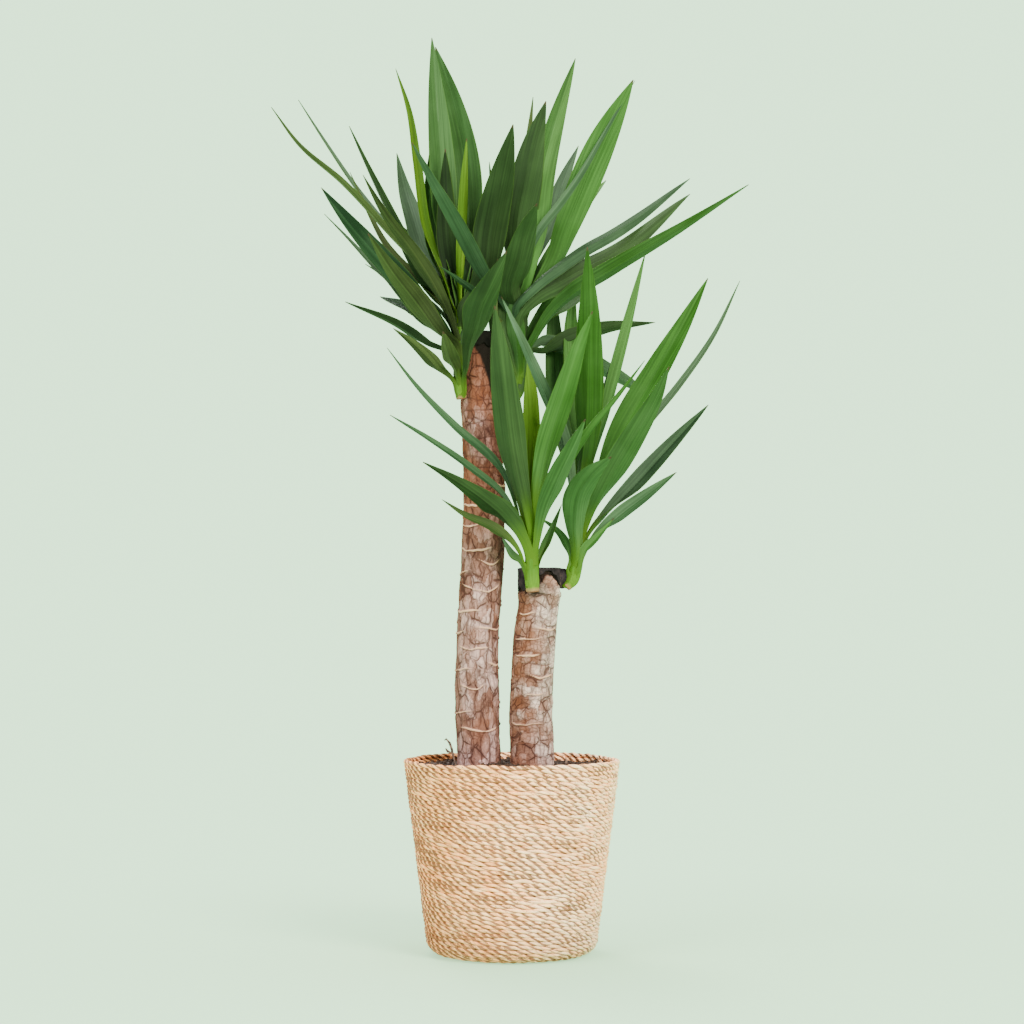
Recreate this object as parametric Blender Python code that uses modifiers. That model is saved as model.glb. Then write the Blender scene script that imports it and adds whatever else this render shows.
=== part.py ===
"""Potted yucca: two cut canes with four leafy shoots, standing in a coiled seagrass basket.

Metres, +Z up, +X right, front towards -Y. The origin is the centre of the basket's underside.
"""
import math

import bmesh
import bpy
from mathutils import Matrix, Vector

# Driving dimensions, in metres
CM = 0.01
BASKET_RIM_RADIUS = 0.105
BASKET_BASE_RADIUS = 0.0815
BASKET_HEIGHT = 0.185
BASKET_WALL = 0.006
BASKET_EDGE = 0.015
SOIL_LEVEL = 0.176
FIT_GAP = 0.0003
FOOT_GAP = 0.0008
TALL_CANE_TOP = 0.600
SHORT_CANE_TOP = 0.368
WAX_THICKNESS = 0.0015
LEAF_THICKNESS = 0.0012
LEAF_STATIONS = 10
ROUND_STEPS = 64
CANE_SIDES = 20
SHOOT_SIDES = 12

# Centre lines of the canes: (x, y, z, radius) in centimetres, from the buried foot up
TALL_CANE = [
    (-3.1, 0.5, 10.0, 2.15), (-3.15, 0.5, 17.5, 2.2), (-3.4, 0.5, 24.0, 2.2), (-3.4, 0.5, 28.0, 2.15),
    (-3.25, 0.5, 32.0, 2.1), (-3.0, 0.5, 35.5, 2.15), (-2.8, 0.5, 39.5, 2.15), (-2.7, 0.5, 44.0, 2.1),
    (-2.85, 0.5, 47.5, 2.0), (-3.1, 0.5, 50.0, 1.85), (-3.35, 0.5, 53.5, 1.7), (-3.4, 0.5, 57.0, 1.55),
]
SHORT_CANE = [
    (2.0, -0.5, 10.0, 2.1), (2.0, -0.5, 18.0, 2.15), (1.85, -0.5, 24.0, 2.15), (2.1, -0.5, 29.0, 2.1),
    (2.45, -0.5, 32.5, 2.05), (2.7, -0.5, 35.0, 2.05),
]

# Centre lines of the shoots: (x, y, z, radius) in centimetres, from the cane to the tip of the rolled spear
SHOOTS = {
    "upper_left": [
        (-4.9, -0.96, 53.4, 0.46), (-5.0, -1.12, 54.2, 0.6), (-5.05, -1.4, 55.5, 0.62),
        (-4.95, -1.6, 57.5, 0.6), (-4.9, -1.6, 59.0, 0.58), (-4.7, -1.4, 62.0, 0.5), (-4.6, -1.3, 65.0, 0.4),
        (-4.5, -1.2, 72.0, 0.3), (-4.4, -1.0, 79.0, 0.06),
    ],
    "upper_right": [
        (-1.57, 0.6, 53.2, 0.35), (-0.2, 0.8, 53.3, 0.45), (0.5, 1.0, 54.2, 0.58), (0.75, 1.0, 56.0, 0.62),
        (0.85, 1.0, 59.0, 0.58), (1.0, 1.1, 62.0, 0.5), (1.2, 1.3, 66.0, 0.4), (1.7, 2.2, 76.0, 0.3),
        (2.2, 3.0, 85.0, 0.05),
    ],
    "lower_left": [
        (2.0, -3.25, 34.6, 0.58), (1.95, -3.36, 35.4, 0.66), (1.9, -3.5, 37.0, 0.64), (1.85, -3.7, 40.0, 0.56),
        (1.85, -3.7, 43.5, 0.46), (1.9, -3.75, 48.0, 0.55), (1.95, -3.8, 54.0, 0.55), (1.9, -3.8, 61.5, 0.06),
    ],
    "lower_right": [
        (5.2, -0.85, 35.1, 0.42), (5.8, -0.95, 35.7, 0.58), (6.15, -1.0, 37.0, 0.64), (6.4, -1.0, 39.0, 0.62),
        (6.7, -1.0, 42.0, 0.5), (7.3, -0.9, 45.0, 0.4), (9.9, -0.5, 54.0, 0.35), (11.9, -0.2, 62.0, 0.25),
        (13.1, 0.0, 68.0, 0.05),
    ],
}

# Leaves, in centimetres and degrees: shoot, height of the foot up the shoot, bearing of the foot,
# middle (x, y, z), tip (x, y, z), width, turn of the blade from foot to tip, green.
LEAVES = {
    "leaf_ul_01": ("upper_left", 1.8, 255, (-5.8, -5.4, 56.6), (-6.5, -8.0, 59.0), 1.9, 0, "mid"),
    "leaf_ul_02": ("upper_left", 2.2, 205, (-8.3, -3.9, 57.3), (-11.3, -6.0, 59.6), 1.6, 20, "dark"),
    "leaf_ul_03": ("upper_left", 3.8, 178, (-11.0, -0.8, 60.6), (-16.4, -0.8, 63.1), 2.0, 10, "dark"),
    "leaf_ul_04": ("upper_left", 4.3, 142, (-10.0, 4.5, 63.0), (-13.6, 10.0, 65.3), 1.8, 0, "dark"),
    "leaf_ul_05": ("upper_left", 4.6, 230, (-10.4, -6.8, 63.7), (-13.3, -12.0, 67.5), 2.4, 0, "mid"),
    "leaf_ul_06": ("upper_left", 5.0, 192, (-13.0, -2.6, 67.8), (-19.0, -3.0, 74.0), 2.8, -30, "dark"),
    "leaf_ul_07": ("upper_left", 5.8, 155, (-13.4, 4.0, 67.6), (-19.2, 8.0, 73.4), 2.0, 0, "dark"),
    "leaf_ul_08": ("upper_left", 4.8, 120, (-8.4, 7.4, 68.0), (-12.4, 13.0, 74.0), 2.4, 0, "dark"),
    "leaf_ul_09": ("upper_left", 6.0, 228, (-10.7, -7.2, 67.2), (-13.8, -12.0, 73.0), 2.4, 10, "mid"),
    "leaf_ul_10": ("upper_left", 7.8, 188, (-11.2, -2.0, 70.6), (-16.0, -2.0, 80.2), 2.6, -25, "mid"),
    "leaf_ul_11": ("upper_left", 6.4, 168, (-11.8, 1.4, 68.0), (-16.5, 3.0, 76.6), 1.8, 0, "dark"),
    "leaf_ul_12": ("upper_left", 6.8, 210, (-14.2, -5.4, 70.9), (-22.8, -8.0, 80.4), 1.8, 0, "mid"),
    "leaf_ul_13": ("upper_left", 7.2, 145, (-13.8, 6.0, 72.5), (-22.0, 10.5, 85.6), 1.4, 0, "dark"),
    "leaf_ul_14": ("upper_left", 4.4, 292, (-2.9, -8.8, 61.4), (-0.5, -14.5, 65.4), 2.7, 0, "dark"),
    "leaf_ul_15": ("upper_left", 8.4, 125, (-9.5, 5.8, 70.7), (-12.0, 11.5, 80.6), 2.2, 0, "bluish"),
    "leaf_ul_16": ("upper_left", 9.6, 205, (-6.2, -0.8, 71.0), (-6.6, -0.9, 78.4), 1.8, 0, "dark"),
    "leaf_ul_17": ("upper_left", 8.8, 172, (-8.6, 0.8, 74.3), (-11.6, 2.0, 86.8), 2.0, -40, "bright"),
    "leaf_ul_18": ("upper_left", 8.2, 300, (-1.9, -4.4, 69.8), (0.0, -7.0, 79.0), 2.9, 0, "dark"),
    "leaf_ul_19": ("upper_left", 10.0, 112, (-7.0, 2.2, 75.2), (-8.0, 3.4, 90.0), 3.0, 0, "mid"),
    "leaf_ul_20": ("upper_left", 11.0, 50, (-4.6, 0.8, 74.4), (-7.5, 1.5, 89.0), 3.8, 0, "dark"),
    "leaf_ur_01": ("upper_right", 4.8, 22, (7.2, 3.2, 60.7), (14.5, 6.5, 62.2), 2.4, 20, "dark"),
    "leaf_ur_02": ("upper_right", 5.4, 55, (5.9, 5.6, 64.4), (9.1, 9.4, 67.4), 2.8, 0, "dark"),
    "leaf_ur_03": ("upper_right", 6.0, 346, (12.6, -0.8, 67.6), (22.8, -2.5, 74.2), 2.4, 0, "mid"),
    "leaf_ur_04": ("upper_right", 6.8, 12, (9.9, 2.8, 68.6), (18.0, 5.5, 75.0), 2.8, 25, "dark"),
    "leaf_ur_05": ("upper_right", 7.8, 40, (10.2, 7.0, 70.6), (18.5, 12.5, 78.5), 2.0, 0, "bluish"),
    "leaf_ur_06": ("upper_right", 6.2, 235, (-5.4, -8.2, 68.4), (-9.3, -14.0, 75.6), 2.2, 0, "bluish"),
    "leaf_ur_07": ("upper_right", 7.4, 275, (1.4, -6.0, 65.8), (2.3, -11.5, 70.2), 3.2, 0, "mid"),
    "leaf_ur_08": ("upper_right", 9.0, 66, (6.2, 7.6, 70.0), (9.9, 14.0, 78.2), 2.2, 0, "dark"),
    "leaf_ur_09": ("upper_right", 10.2, 92, (4.2, 7.6, 71.6), (7.0, 14.0, 82.0), 2.2, 0, "dark"),
    "leaf_ur_10": ("upper_right", 8.8, 322, (6.7, -2.6, 73.2), (11.7, -4.5, 84.0), 3.8, 10, "bright"),
    "leaf_ur_11": ("upper_right", 10.9, 38, (3.9, 4.0, 76.2), (6.5, 7.5, 89.2), 2.8, 0, "bright"),
    "leaf_ur_12": ("upper_right", 9.8, 250, (1.3, -1.2, 72.6), (3.3, -3.0, 82.2), 3.4, 0, "dark"),
    "leaf_ll_01": ("lower_left", 2.6, 195, (-2.8, -6.0, 40.8), (-6.6, -7.5, 43.2), 1.5, 0, "mid"),
    "leaf_ll_02": ("lower_left", 3.6, 225, (-3.6, -9.2, 43.4), (-8.2, -13.5, 46.2), 2.4, -15, "dark"),
    "leaf_ll_03": ("lower_left", 2.0, 50, (3.7, -2.5, 40.6), (4.8, -2.0, 43.0), 1.0, 0, "mid"),
    "leaf_ll_04": ("lower_left", 4.8, 200, (-4.6, -6.4, 47.1), (-11.4, -9.0, 50.8), 1.3, 0, "bluish"),
    "leaf_ll_05": ("lower_left", 5.6, 178, (-4.9, -4.6, 49.7), (-12.0, -5.5, 57.7), 1.4, 0, "bluish"),
    "leaf_ll_06": ("lower_left", 4.0, 305, (4.8, -10.0, 45.0), (6.8, -15.5, 49.9), 2.6, 0, "mid"),
    "leaf_ll_07": ("lower_left", 5.0, 335, (7.3, -7.2, 48.5), (12.4, -10.5, 56.0), 1.4, 0, "bright"),
    "leaf_ll_08": ("lower_left", 5.6, 248, (-0.5, -8.2, 51.5), (-1.7, -12.5, 60.5), 2.8, 0, "dark"),
    "leaf_ll_09": ("lower_left", 6.6, 292, (4.7, -8.2, 52.9), (7.7, -12.5, 60.5), 2.9, 0, "bright"),
    "leaf_lr_01": ("lower_right", 3.2, 346, (12.0, -2.8, 43.1), (15.8, -4.5, 46.0), 1.9, 20, "bluish"),
    "leaf_lr_02": ("lower_right", 2.6, 272, (6.4, -6.8, 43.8), (9.1, -12.0, 46.8), 3.1, 0, "bluish"),
    "leaf_lr_03": ("lower_right", 4.6, 8, (13.9, 0.8, 47.7), (19.2, 2.0, 53.4), 2.6, 30, "dark"),
    "leaf_lr_04": ("lower_right", 5.2, 316, (11.0, -7.2, 48.5), (14.5, -11.5, 55.0), 3.3, 0, "mid"),
    "leaf_lr_05": ("lower_right", 6.0, 36, (16.5, 4.0, 54.5), (23.0, 7.5, 66.3), 1.6, 0, "bluish"),
    "leaf_lr_06": ("lower_right", 6.8, 342, (13.8, -3.2, 55.5), (18.8, -5.5, 64.5), 2.8, 55, "bright"),
    "leaf_lr_07": ("lower_right", 6.0, 228, (2.4, -6.6, 54.1), (-1.0, -9.2, 62.0), 2.0, 0, "bluish"),
    "leaf_lr_08": ("lower_right", 7.0, 125, (4.2, 6.0, 60.0), (3.8, 9.0, 68.5), 2.6, 0, "dark"),
    "leaf_lr_09": ("lower_right", 8.0, 240, (7.2, -3.2, 57.0), (7.2, -5.5, 67.3), 3.0, 0, "mid"),
}

# Share of the full width along a leaf, and the fold of its two halves in degrees
LEAF_WIDTHS = [
    (0.0, 0.42), (0.08, 0.38), (0.2, 0.5), (0.4, 0.95), (0.52, 1.0), (0.7, 0.86), (0.86, 0.5), (1.0, 0.05),
]
LEAF_FOLDS = [(0.0, 42), (0.15, 38), (0.4, 24), (1.0, 12)]

COLOURS = {
    "seagrass": ((0.62, 0.44, 0.27, 1.0), 0.85),
    "soil": ((0.035, 0.022, 0.014, 1.0), 0.95),
    "bark": ((0.36, 0.22, 0.15, 1.0), 0.85),
    "wax": ((0.035, 0.028, 0.035, 1.0), 0.45),
    "shoot": ((0.30, 0.46, 0.09, 1.0), 0.45),
    "dark": ((0.025, 0.09, 0.02, 1.0), 0.4),
    "mid": ((0.05, 0.16, 0.025, 1.0), 0.4),
    "bright": ((0.13, 0.30, 0.03, 1.0), 0.4),
    "bluish": ((0.05, 0.15, 0.07, 1.0), 0.45),
}


def clear_scene():
    for obj in list(bpy.data.objects):
        bpy.data.objects.remove(obj, do_unlink=True)


def make_material(name, colour):
    base, roughness = COLOURS[colour]
    material = bpy.data.materials.new(name)
    material.use_nodes = True
    shader = material.node_tree.nodes["Principled BSDF"]
    shader.inputs["Base Color"].default_value = base
    shader.inputs["Roughness"].default_value = roughness
    shader.inputs["Metallic"].default_value = 0.0
    material.diffuse_color = base
    return material


def add_object(name, data, collection, colour, location=(0.0, 0.0, 0.0)):
    obj = bpy.data.objects.new(name, data)
    obj.location = location
    data.materials.append(make_material(name + "_look", colour))
    collection.objects.link(obj)
    return obj


def shade_smooth(mesh):
    for polygon in mesh.polygons:
        polygon.use_smooth = True


def blend(table, value):
    """Straight-line reading of a table of (position, number) pairs."""
    for (p0, n0), (p1, n1) in zip(table, table[1:]):
        if value <= p1:
            return n0 + (n1 - n0) * (value - p0) / (p1 - p0)
    return table[-1][1]


def turned(name, profile, collection, colour, location=(0.0, 0.0, 0.0), steps=ROUND_STEPS):
    """A profile of (radius, height) points turned about the vertical axis."""
    mesh = bpy.data.meshes.new(name)
    bm = bmesh.new()
    points = [bm.verts.new((radius, 0.0, height)) for radius, height in profile]
    for first, second in zip(points, points[1:]):
        bm.edges.new((first, second))
    bm.to_mesh(mesh)
    bm.free()
    obj = add_object(name, mesh, collection, colour, location)
    screw = obj.modifiers.new("turn", "SCREW")
    screw.axis = "Z"
    screw.angle = 2.0 * math.pi
    screw.steps = steps
    screw.render_steps = steps
    screw.use_merge_vertices = True
    screw.merge_threshold = 0.0001
    screw.use_smooth_shade = True
    return obj


def rounded(centre, radius, start, end, count):
    """Points of an arc in the profile plane, angles in degrees."""
    points = []
    for index in range(count + 1):
        angle = math.radians(start + (end - start) * index / count)
        points.append((centre[0] + radius * math.cos(angle), centre[1] + radius * math.sin(angle)))
    return points


def wall_radius(height):
    """Outer radius of the basket at a height."""
    return BASKET_BASE_RADIUS + (BASKET_RIM_RADIUS - BASKET_BASE_RADIUS) * height / BASKET_HEIGHT


def build_basket(collection):
    """The coiled seagrass basket: a tapered open shell with a rounded lower edge and a rounded rim."""
    rim = BASKET_WALL / 2
    profile = [(0.0, BASKET_WALL), (BASKET_BASE_RADIUS - BASKET_EDGE, BASKET_WALL)]
    profile += [(BASKET_BASE_RADIUS - BASKET_WALL - 0.003, BASKET_WALL + 0.003)]
    profile += [(wall_radius(0.02) - BASKET_WALL, 0.02)]
    profile += rounded((BASKET_RIM_RADIUS - rim, BASKET_HEIGHT - rim), rim, 180, 0, 4)
    profile += rounded((BASKET_BASE_RADIUS - BASKET_EDGE + 0.002, BASKET_EDGE), BASKET_EDGE, 0, -90, 4)
    profile += [(0.0, 0.0)]
    return turned("basket", profile, collection, "seagrass")


def tube_curve(name, line, sides, collection, colour):
    """A round tube along a centre line of (x, y, z, radius) points in centimetres."""
    curve = bpy.data.curves.new(name, "CURVE")
    curve.dimensions = "3D"
    curve.bevel_depth = CM
    curve.bevel_resolution = sides // 2 - 2
    curve.use_fill_caps = True
    foot = Vector(line[0][:3]) * CM
    spline = curve.splines.new("POLY")
    spline.points.add(len(line) - 1)
    for point, (x, y, z, radius) in zip(spline.points, line):
        place = Vector((x, y, z)) * CM - foot
        point.co = (place.x, place.y, place.z, 1.0)
        point.radius = radius
    return add_object(name, curve, collection, colour, foot)


def as_mesh(obj, collection):
    """Swap a curve object for the mesh it evaluates to."""
    evaluated = obj.evaluated_get(bpy.context.evaluated_depsgraph_get())
    mesh = bpy.data.meshes.new_from_object(evaluated)
    bm = bmesh.new()
    bm.from_mesh(mesh)
    bmesh.ops.remove_doubles(bm, verts=bm.verts, dist=0.00001)
    bmesh.ops.recalc_face_normals(bm, faces=bm.faces)
    bm.to_mesh(mesh)
    bm.free()
    name = obj.name
    place = obj.matrix_world.copy()
    bpy.data.objects.remove(obj, do_unlink=True)
    solid = bpy.data.objects.new(name, mesh)
    solid.matrix_world = place
    collection.objects.link(solid)
    shade_smooth(mesh)
    return solid


def grown(line, margin):
    """The same centre line with a wider radius and a lower foot."""
    wider = [(x, y, z, radius + margin) for x, y, z, radius in line]
    x, y, z, radius = wider[0]
    wider[0] = (x, y, z - margin, radius)
    return wider


def extended(line, top):
    """The centre line carried straight up to a top height, in metres."""
    x, y, z, radius = line[-1]
    return line + [(x, y, top / CM, radius - 0.02)]


def build_soil(collection, cutters):
    """Potting soil filling the basket, with a pocket where each cane goes down into it."""
    gap = FIT_GAP
    inner_base = BASKET_BASE_RADIUS - BASKET_WALL - 0.003
    profile = [(0.0, BASKET_WALL + gap), (BASKET_BASE_RADIUS - BASKET_EDGE - gap, BASKET_WALL + gap)]
    profile += [(inner_base - gap * 2, BASKET_WALL + 0.003 + gap)]
    profile += [(wall_radius(0.02) - BASKET_WALL - gap * 1.2, 0.02)]
    profile += [(wall_radius(SOIL_LEVEL - 0.002) - BASKET_WALL - gap * 1.2, SOIL_LEVEL - 0.002)]
    profile += [(wall_radius(SOIL_LEVEL) - BASKET_WALL - 0.004, SOIL_LEVEL - 0.0005)]
    profile += [(0.05, SOIL_LEVEL + 0.001), (0.0, SOIL_LEVEL)]
    soil = turned("soil", profile[::-1], collection, "soil")
    for name, line in (("tall_cane_pocket", TALL_CANE), ("short_cane_pocket", SHORT_CANE)):
        pocket_line = [point for point in grown(line, gap / CM) if point[2] < 30.0]
        pocket = as_mesh(tube_curve(name, pocket_line, CANE_SIDES, cutters, "soil"), cutters)
        pocket.hide_render = True
        pocket.display_type = "WIRE"
        cut = soil.modifiers.new(name, "BOOLEAN")
        cut.operation = "DIFFERENCE"
        cut.solver = "EXACT"
        cut.object = pocket
    return soil


def build_wax(name, line, top, skirt, collection):
    """A dip of pruning wax over a cut cane end: a disc with a thin skirt around the bark."""
    x, y, _, radius = line[-1]
    inner = radius * CM + FIT_GAP
    outer = inner + WAX_THICKNESS
    under = FIT_GAP
    profile = [(0.0, under + WAX_THICKNESS), (outer - 0.001, under + WAX_THICKNESS), (outer, under)]
    profile += [(outer, -skirt), (inner, -skirt), (inner, under), (0.0, under)]
    return turned(name, profile, collection, "wax", (x * CM, y * CM, top), 32)


def along_shoot(line, height):
    """Centre and radius of a shoot at a height above its foot, in centimetres."""
    level = line[0][2] + height
    for low, high in zip(line, line[1:]):
        if level <= high[2]:
            share = (level - low[2]) / (high[2] - low[2])
            centre = Vector(low[:3]).lerp(Vector(high[:3]), share)
            return centre, low[3] + (high[3] - low[3]) * share
    return Vector(line[-1][:3]), line[-1][3]


def leaf_controls(foot, middle, tip):
    """The three control points of the arc that runs from the foot through the middle to the tip."""
    return foot, middle * 2 - (foot + tip) / 2, tip


def curve_point(controls, t):
    start, control, end = controls
    return start * (1 - t) ** 2 + control * 2 * t * (1 - t) + end * t * t


def curve_direction(controls, t):
    start, control, end = controls
    return ((control - start) * (1 - t) + (end - control) * t).normalized()


def foot_distance(radius, width, lean):
    """Distance from a shoot's centre to the keel of a leaf whose folded, leaning foot clears the shoot."""
    fold = math.radians(LEAF_FOLDS[0][1])
    half = width / 2 * LEAF_WIDTHS[0][1]
    clear = radius * math.cos(math.pi / SHOOT_SIDES) + (LEAF_THICKNESS / 2 + FOOT_GAP) / CM
    reach = min(half, clear * math.tan(fold))
    return reach * math.sin(fold) * math.cos(lean) + math.sqrt(clear ** 2 - (reach * math.cos(fold)) ** 2)


def build_leaf(name, collection):
    """One sword-shaped leaf: a strip bent along its curve, folded along the middle and thickened."""
    shoot, height, bearing, middle, tip, width, turn, colour = LEAVES[name]
    centre, radius = along_shoot(SHOOTS[shoot], height)
    bearing = math.radians(bearing)
    sideways = Vector((-math.sin(bearing), math.cos(bearing), 0.0))
    middle = Vector(middle)
    tip = Vector(tip)
    lean = (leaf_controls(centre, middle, tip)[1] - centre).angle(Vector((0.0, 0.0, 1.0)))
    foot = centre + Vector((math.cos(bearing), math.sin(bearing), 0.0)) * foot_distance(radius, width, lean)
    controls = leaf_controls(foot, middle, tip)
    bm = bmesh.new()
    bmesh.ops.create_grid(bm, x_segments=2, y_segments=LEAF_STATIONS, size=0.5)
    for vert in bm.verts:
        across = vert.co.x * 2.0
        t = vert.co.y + 0.5
        forward = curve_direction(controls, t)
        side = (sideways - forward * sideways.dot(forward)).normalized()
        side = Matrix.Rotation(math.radians(turn) * t, 3, forward) @ side
        upper = forward.cross(side)
        half = width / 2 * blend(LEAF_WIDTHS, t)
        angle = math.radians(blend(LEAF_FOLDS, t))
        offset = side * across * half * math.cos(angle) + upper * abs(across) * half * math.sin(angle)
        vert.co = (curve_point(controls, t) + offset - foot) * CM
    mesh = bpy.data.meshes.new(name)
    bm.to_mesh(mesh)
    bm.free()
    shade_smooth(mesh)
    leaf = add_object(name, mesh, collection, colour, foot * CM)
    thicken = leaf.modifiers.new("thicken", "SOLIDIFY")
    thicken.thickness = LEAF_THICKNESS
    thicken.offset = 0.0
    return leaf


def main():
    clear_scene()
    plant = bpy.data.collections.new("potted_yucca")
    cutters = bpy.data.collections.new("cutters")
    bpy.context.scene.collection.children.link(plant)
    bpy.context.scene.collection.children.link(cutters)
    build_basket(plant)
    build_soil(plant, cutters)
    tube_curve("tall_cane", extended(TALL_CANE, TALL_CANE_TOP), CANE_SIDES, plant, "bark")
    tube_curve("short_cane", extended(SHORT_CANE, SHORT_CANE_TOP), CANE_SIDES, plant, "bark")
    build_wax("tall_cane_wax", TALL_CANE, TALL_CANE_TOP, 0.015, plant)
    build_wax("short_cane_wax", SHORT_CANE, SHORT_CANE_TOP, 0.018, plant)
    for name, line in SHOOTS.items():
        tube_curve(name + "_shoot", line, SHOOT_SIDES, plant, "shoot")
    for name in LEAVES:
        build_leaf(name, plant)


main()
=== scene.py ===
# %% [markdown]
# # A potted yucca, dressed for its portrait
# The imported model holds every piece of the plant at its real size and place: a basket, its soil, two
# canes, their wax caps, four shoots and fifty leaves. They are plain. This lesson replaces each of them
# with a detailed piece that sits in the same place, and adds sixteen young leaves and the small loose
# things in the soil. Lengths are in metres, and tables are in centimetres.

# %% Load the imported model
import math

import bpy
import numpy as np
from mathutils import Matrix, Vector


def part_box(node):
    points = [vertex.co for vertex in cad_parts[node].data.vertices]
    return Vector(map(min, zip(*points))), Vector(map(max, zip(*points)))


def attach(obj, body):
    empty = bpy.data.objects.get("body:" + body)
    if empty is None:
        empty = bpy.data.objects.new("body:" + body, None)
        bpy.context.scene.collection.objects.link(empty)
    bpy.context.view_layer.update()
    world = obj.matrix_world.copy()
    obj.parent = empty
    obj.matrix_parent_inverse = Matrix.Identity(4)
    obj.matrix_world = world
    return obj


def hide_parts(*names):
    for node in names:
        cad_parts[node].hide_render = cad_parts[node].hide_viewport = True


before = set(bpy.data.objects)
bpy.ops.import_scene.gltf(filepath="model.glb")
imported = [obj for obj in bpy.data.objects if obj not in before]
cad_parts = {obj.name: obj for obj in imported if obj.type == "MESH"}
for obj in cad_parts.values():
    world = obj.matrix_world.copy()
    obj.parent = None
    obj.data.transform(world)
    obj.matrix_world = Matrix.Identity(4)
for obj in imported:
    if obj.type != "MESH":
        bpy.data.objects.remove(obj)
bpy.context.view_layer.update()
CM = 0.01
MM = 0.001
bpy.ops.object.select_all(action="DESELECT")

# %% [markdown]
# ## The camera
# A plant portrait is taken from a little way off, so that the pot's rim is a thin oval. A short lens
# close to the plant would fill the frame too, but it would look far down into the pot and make the
# nearest leaves too large. So the eye stands 2 m away with a longer lens. It is 30 cm above the floor,
# and it looks up slightly to take in the highest leaf.

# %% Place the camera
EYE = (0.0, -2.0, 0.303)
LOOK_UP = 3.48
LENS_MM = 72.25
bpy.ops.object.camera_add(location=EYE, rotation=(math.radians(90.0 + LOOK_UP), 0.0, 0.0))
camera = bpy.context.object
camera.name = "portrait_camera"
camera.data.lens = LENS_MM
bpy.context.scene.camera = camera
print("camera", LENS_MM, "mm")

# %% [markdown]
# ## Shader building blocks
# Most finishes are noise pushed through colour ramps. Their nodes could be placed and linked one by one,
# but a finish would then take pages. These helpers add one node each and link it, so that a finish reads
# from top to bottom like a recipe.


# %% Shader helpers
def feed(tree, socket, value):
    """Links a socket to another one, or sets its value."""
    if isinstance(value, bpy.types.NodeSocket):
        tree.links.new(value, socket)
    else:
        socket.default_value = value


def node(tree, kind, inputs=None, **settings):
    made = tree.nodes.new("ShaderNode" + kind)
    for key, value in settings.items():
        setattr(made, key, value)
    for key, value in (inputs or {}).items():
        feed(tree, made.inputs[key], value)
    return made


def attribute(tree, name, output="Fac"):
    """A value that was kept at each point of the mesh."""
    return node(tree, "Attribute", attribute_name=name).outputs[output]


def maths(tree, operation, first, second=0.0):
    return node(tree, "Math", {0: first, 1: second}, operation=operation).outputs[0]


def times(tree, first, second):
    return maths(tree, "MULTIPLY", first, second)


def plus(tree, first, second):
    return maths(tree, "ADD", first, second)


def spread(tree, value, low, high, new_low=0.0, new_high=1.0):
    """A value's stretch from low to high, eased onto a new stretch."""
    inputs = {"Value": value, "From Min": low, "From Max": high, "To Min": new_low, "To Max": new_high}
    return node(tree, "MapRange", inputs, interpolation_type="SMOOTHSTEP").outputs["Result"]


def mix(tree, factor, first, second, way="MIX"):
    """The first colour where the factor is 0, the second where it is 1."""
    made = node(tree, "Mix", data_type="RGBA", blend_type=way)
    for index, value in ((0, factor), (6, first), (7, second)):
        feed(tree, made.inputs[index], value)
    return made.outputs[2]


def shaded(tree, colour, level):
    """A colour multiplied by a level that changes over the surface."""
    grey = node(tree, "CombineColor", {0: level, 1: level, 2: level}).outputs[0]
    return mix(tree, 1.0, colour, grey, "MULTIPLY")


def ramp(tree, value, stops):
    """A colour ramp: stops are (position, (red, green, blue))."""
    made = node(tree, "ValToRGB", {"Fac": value})
    elements = made.color_ramp.elements
    while len(elements) < len(stops):
        elements.new(0.5)
    for element, (position, colour) in zip(elements, stops):
        element.position = position
        element.color = (*colour, 1.0)
    return made.outputs["Color"]


def noise(tree, vector, scale, stretch=(1.0, 1.0, 1.0), detail=3.0, roughness=0.55):
    """Cloudy noise from 0 to 1, finer along the axes that are stretched more."""
    mapped = node(tree, "Mapping", {"Vector": vector, "Scale": stretch}).outputs["Vector"]
    inputs = {"Vector": mapped, "Scale": scale, "Detail": detail, "Roughness": roughness}
    return node(tree, "TexNoise", inputs).outputs["Fac"]


def object_place(tree):
    return node(tree, "TexCoord").outputs["Object"]


def new_material(name, roughness=0.6, specular=0.5):
    material = bpy.data.materials.new(name)
    material.use_nodes = True
    shader = material.node_tree.nodes["Principled BSDF"]
    shader.inputs["Roughness"].default_value = roughness
    shader.inputs["Specular IOR Level"].default_value = specular
    return material, material.node_tree, shader


def bump(tree, shader, height, distance, strength=1.0):
    """Lets a value tilt the surface, as if it were a relief."""
    inputs = {"Height": height, "Distance": distance, "Strength": strength}
    feed(tree, shader.inputs["Normal"], node(tree, "Bump", inputs).outputs["Normal"])


# %% [markdown]
# ## The studio
# The floor and the air are the same pale green-grey. Near the pot the floor catches a soft shadow, and
# further out it fades into the colour of the air, so no horizon shows. A curved backdrop would hide the
# horizon too, but only from one side. The light is broad and even: a large soft lamp at the front right,
# a weaker one at the left, one above, and a faint one behind for the rims.

# %% Floor, air and lamps
AIR = (0.60, 1.0, 0.60, 1.0)
AIR_GLOW = 2.8
FLOOR_PAINT = (0.46, 0.77, 0.46, 1.0)
FLOOR_RADIUS = 14.0
FLOOR_DROP = 0.0004  # the pot stands this little above the floor, so that the two never flicker


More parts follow.
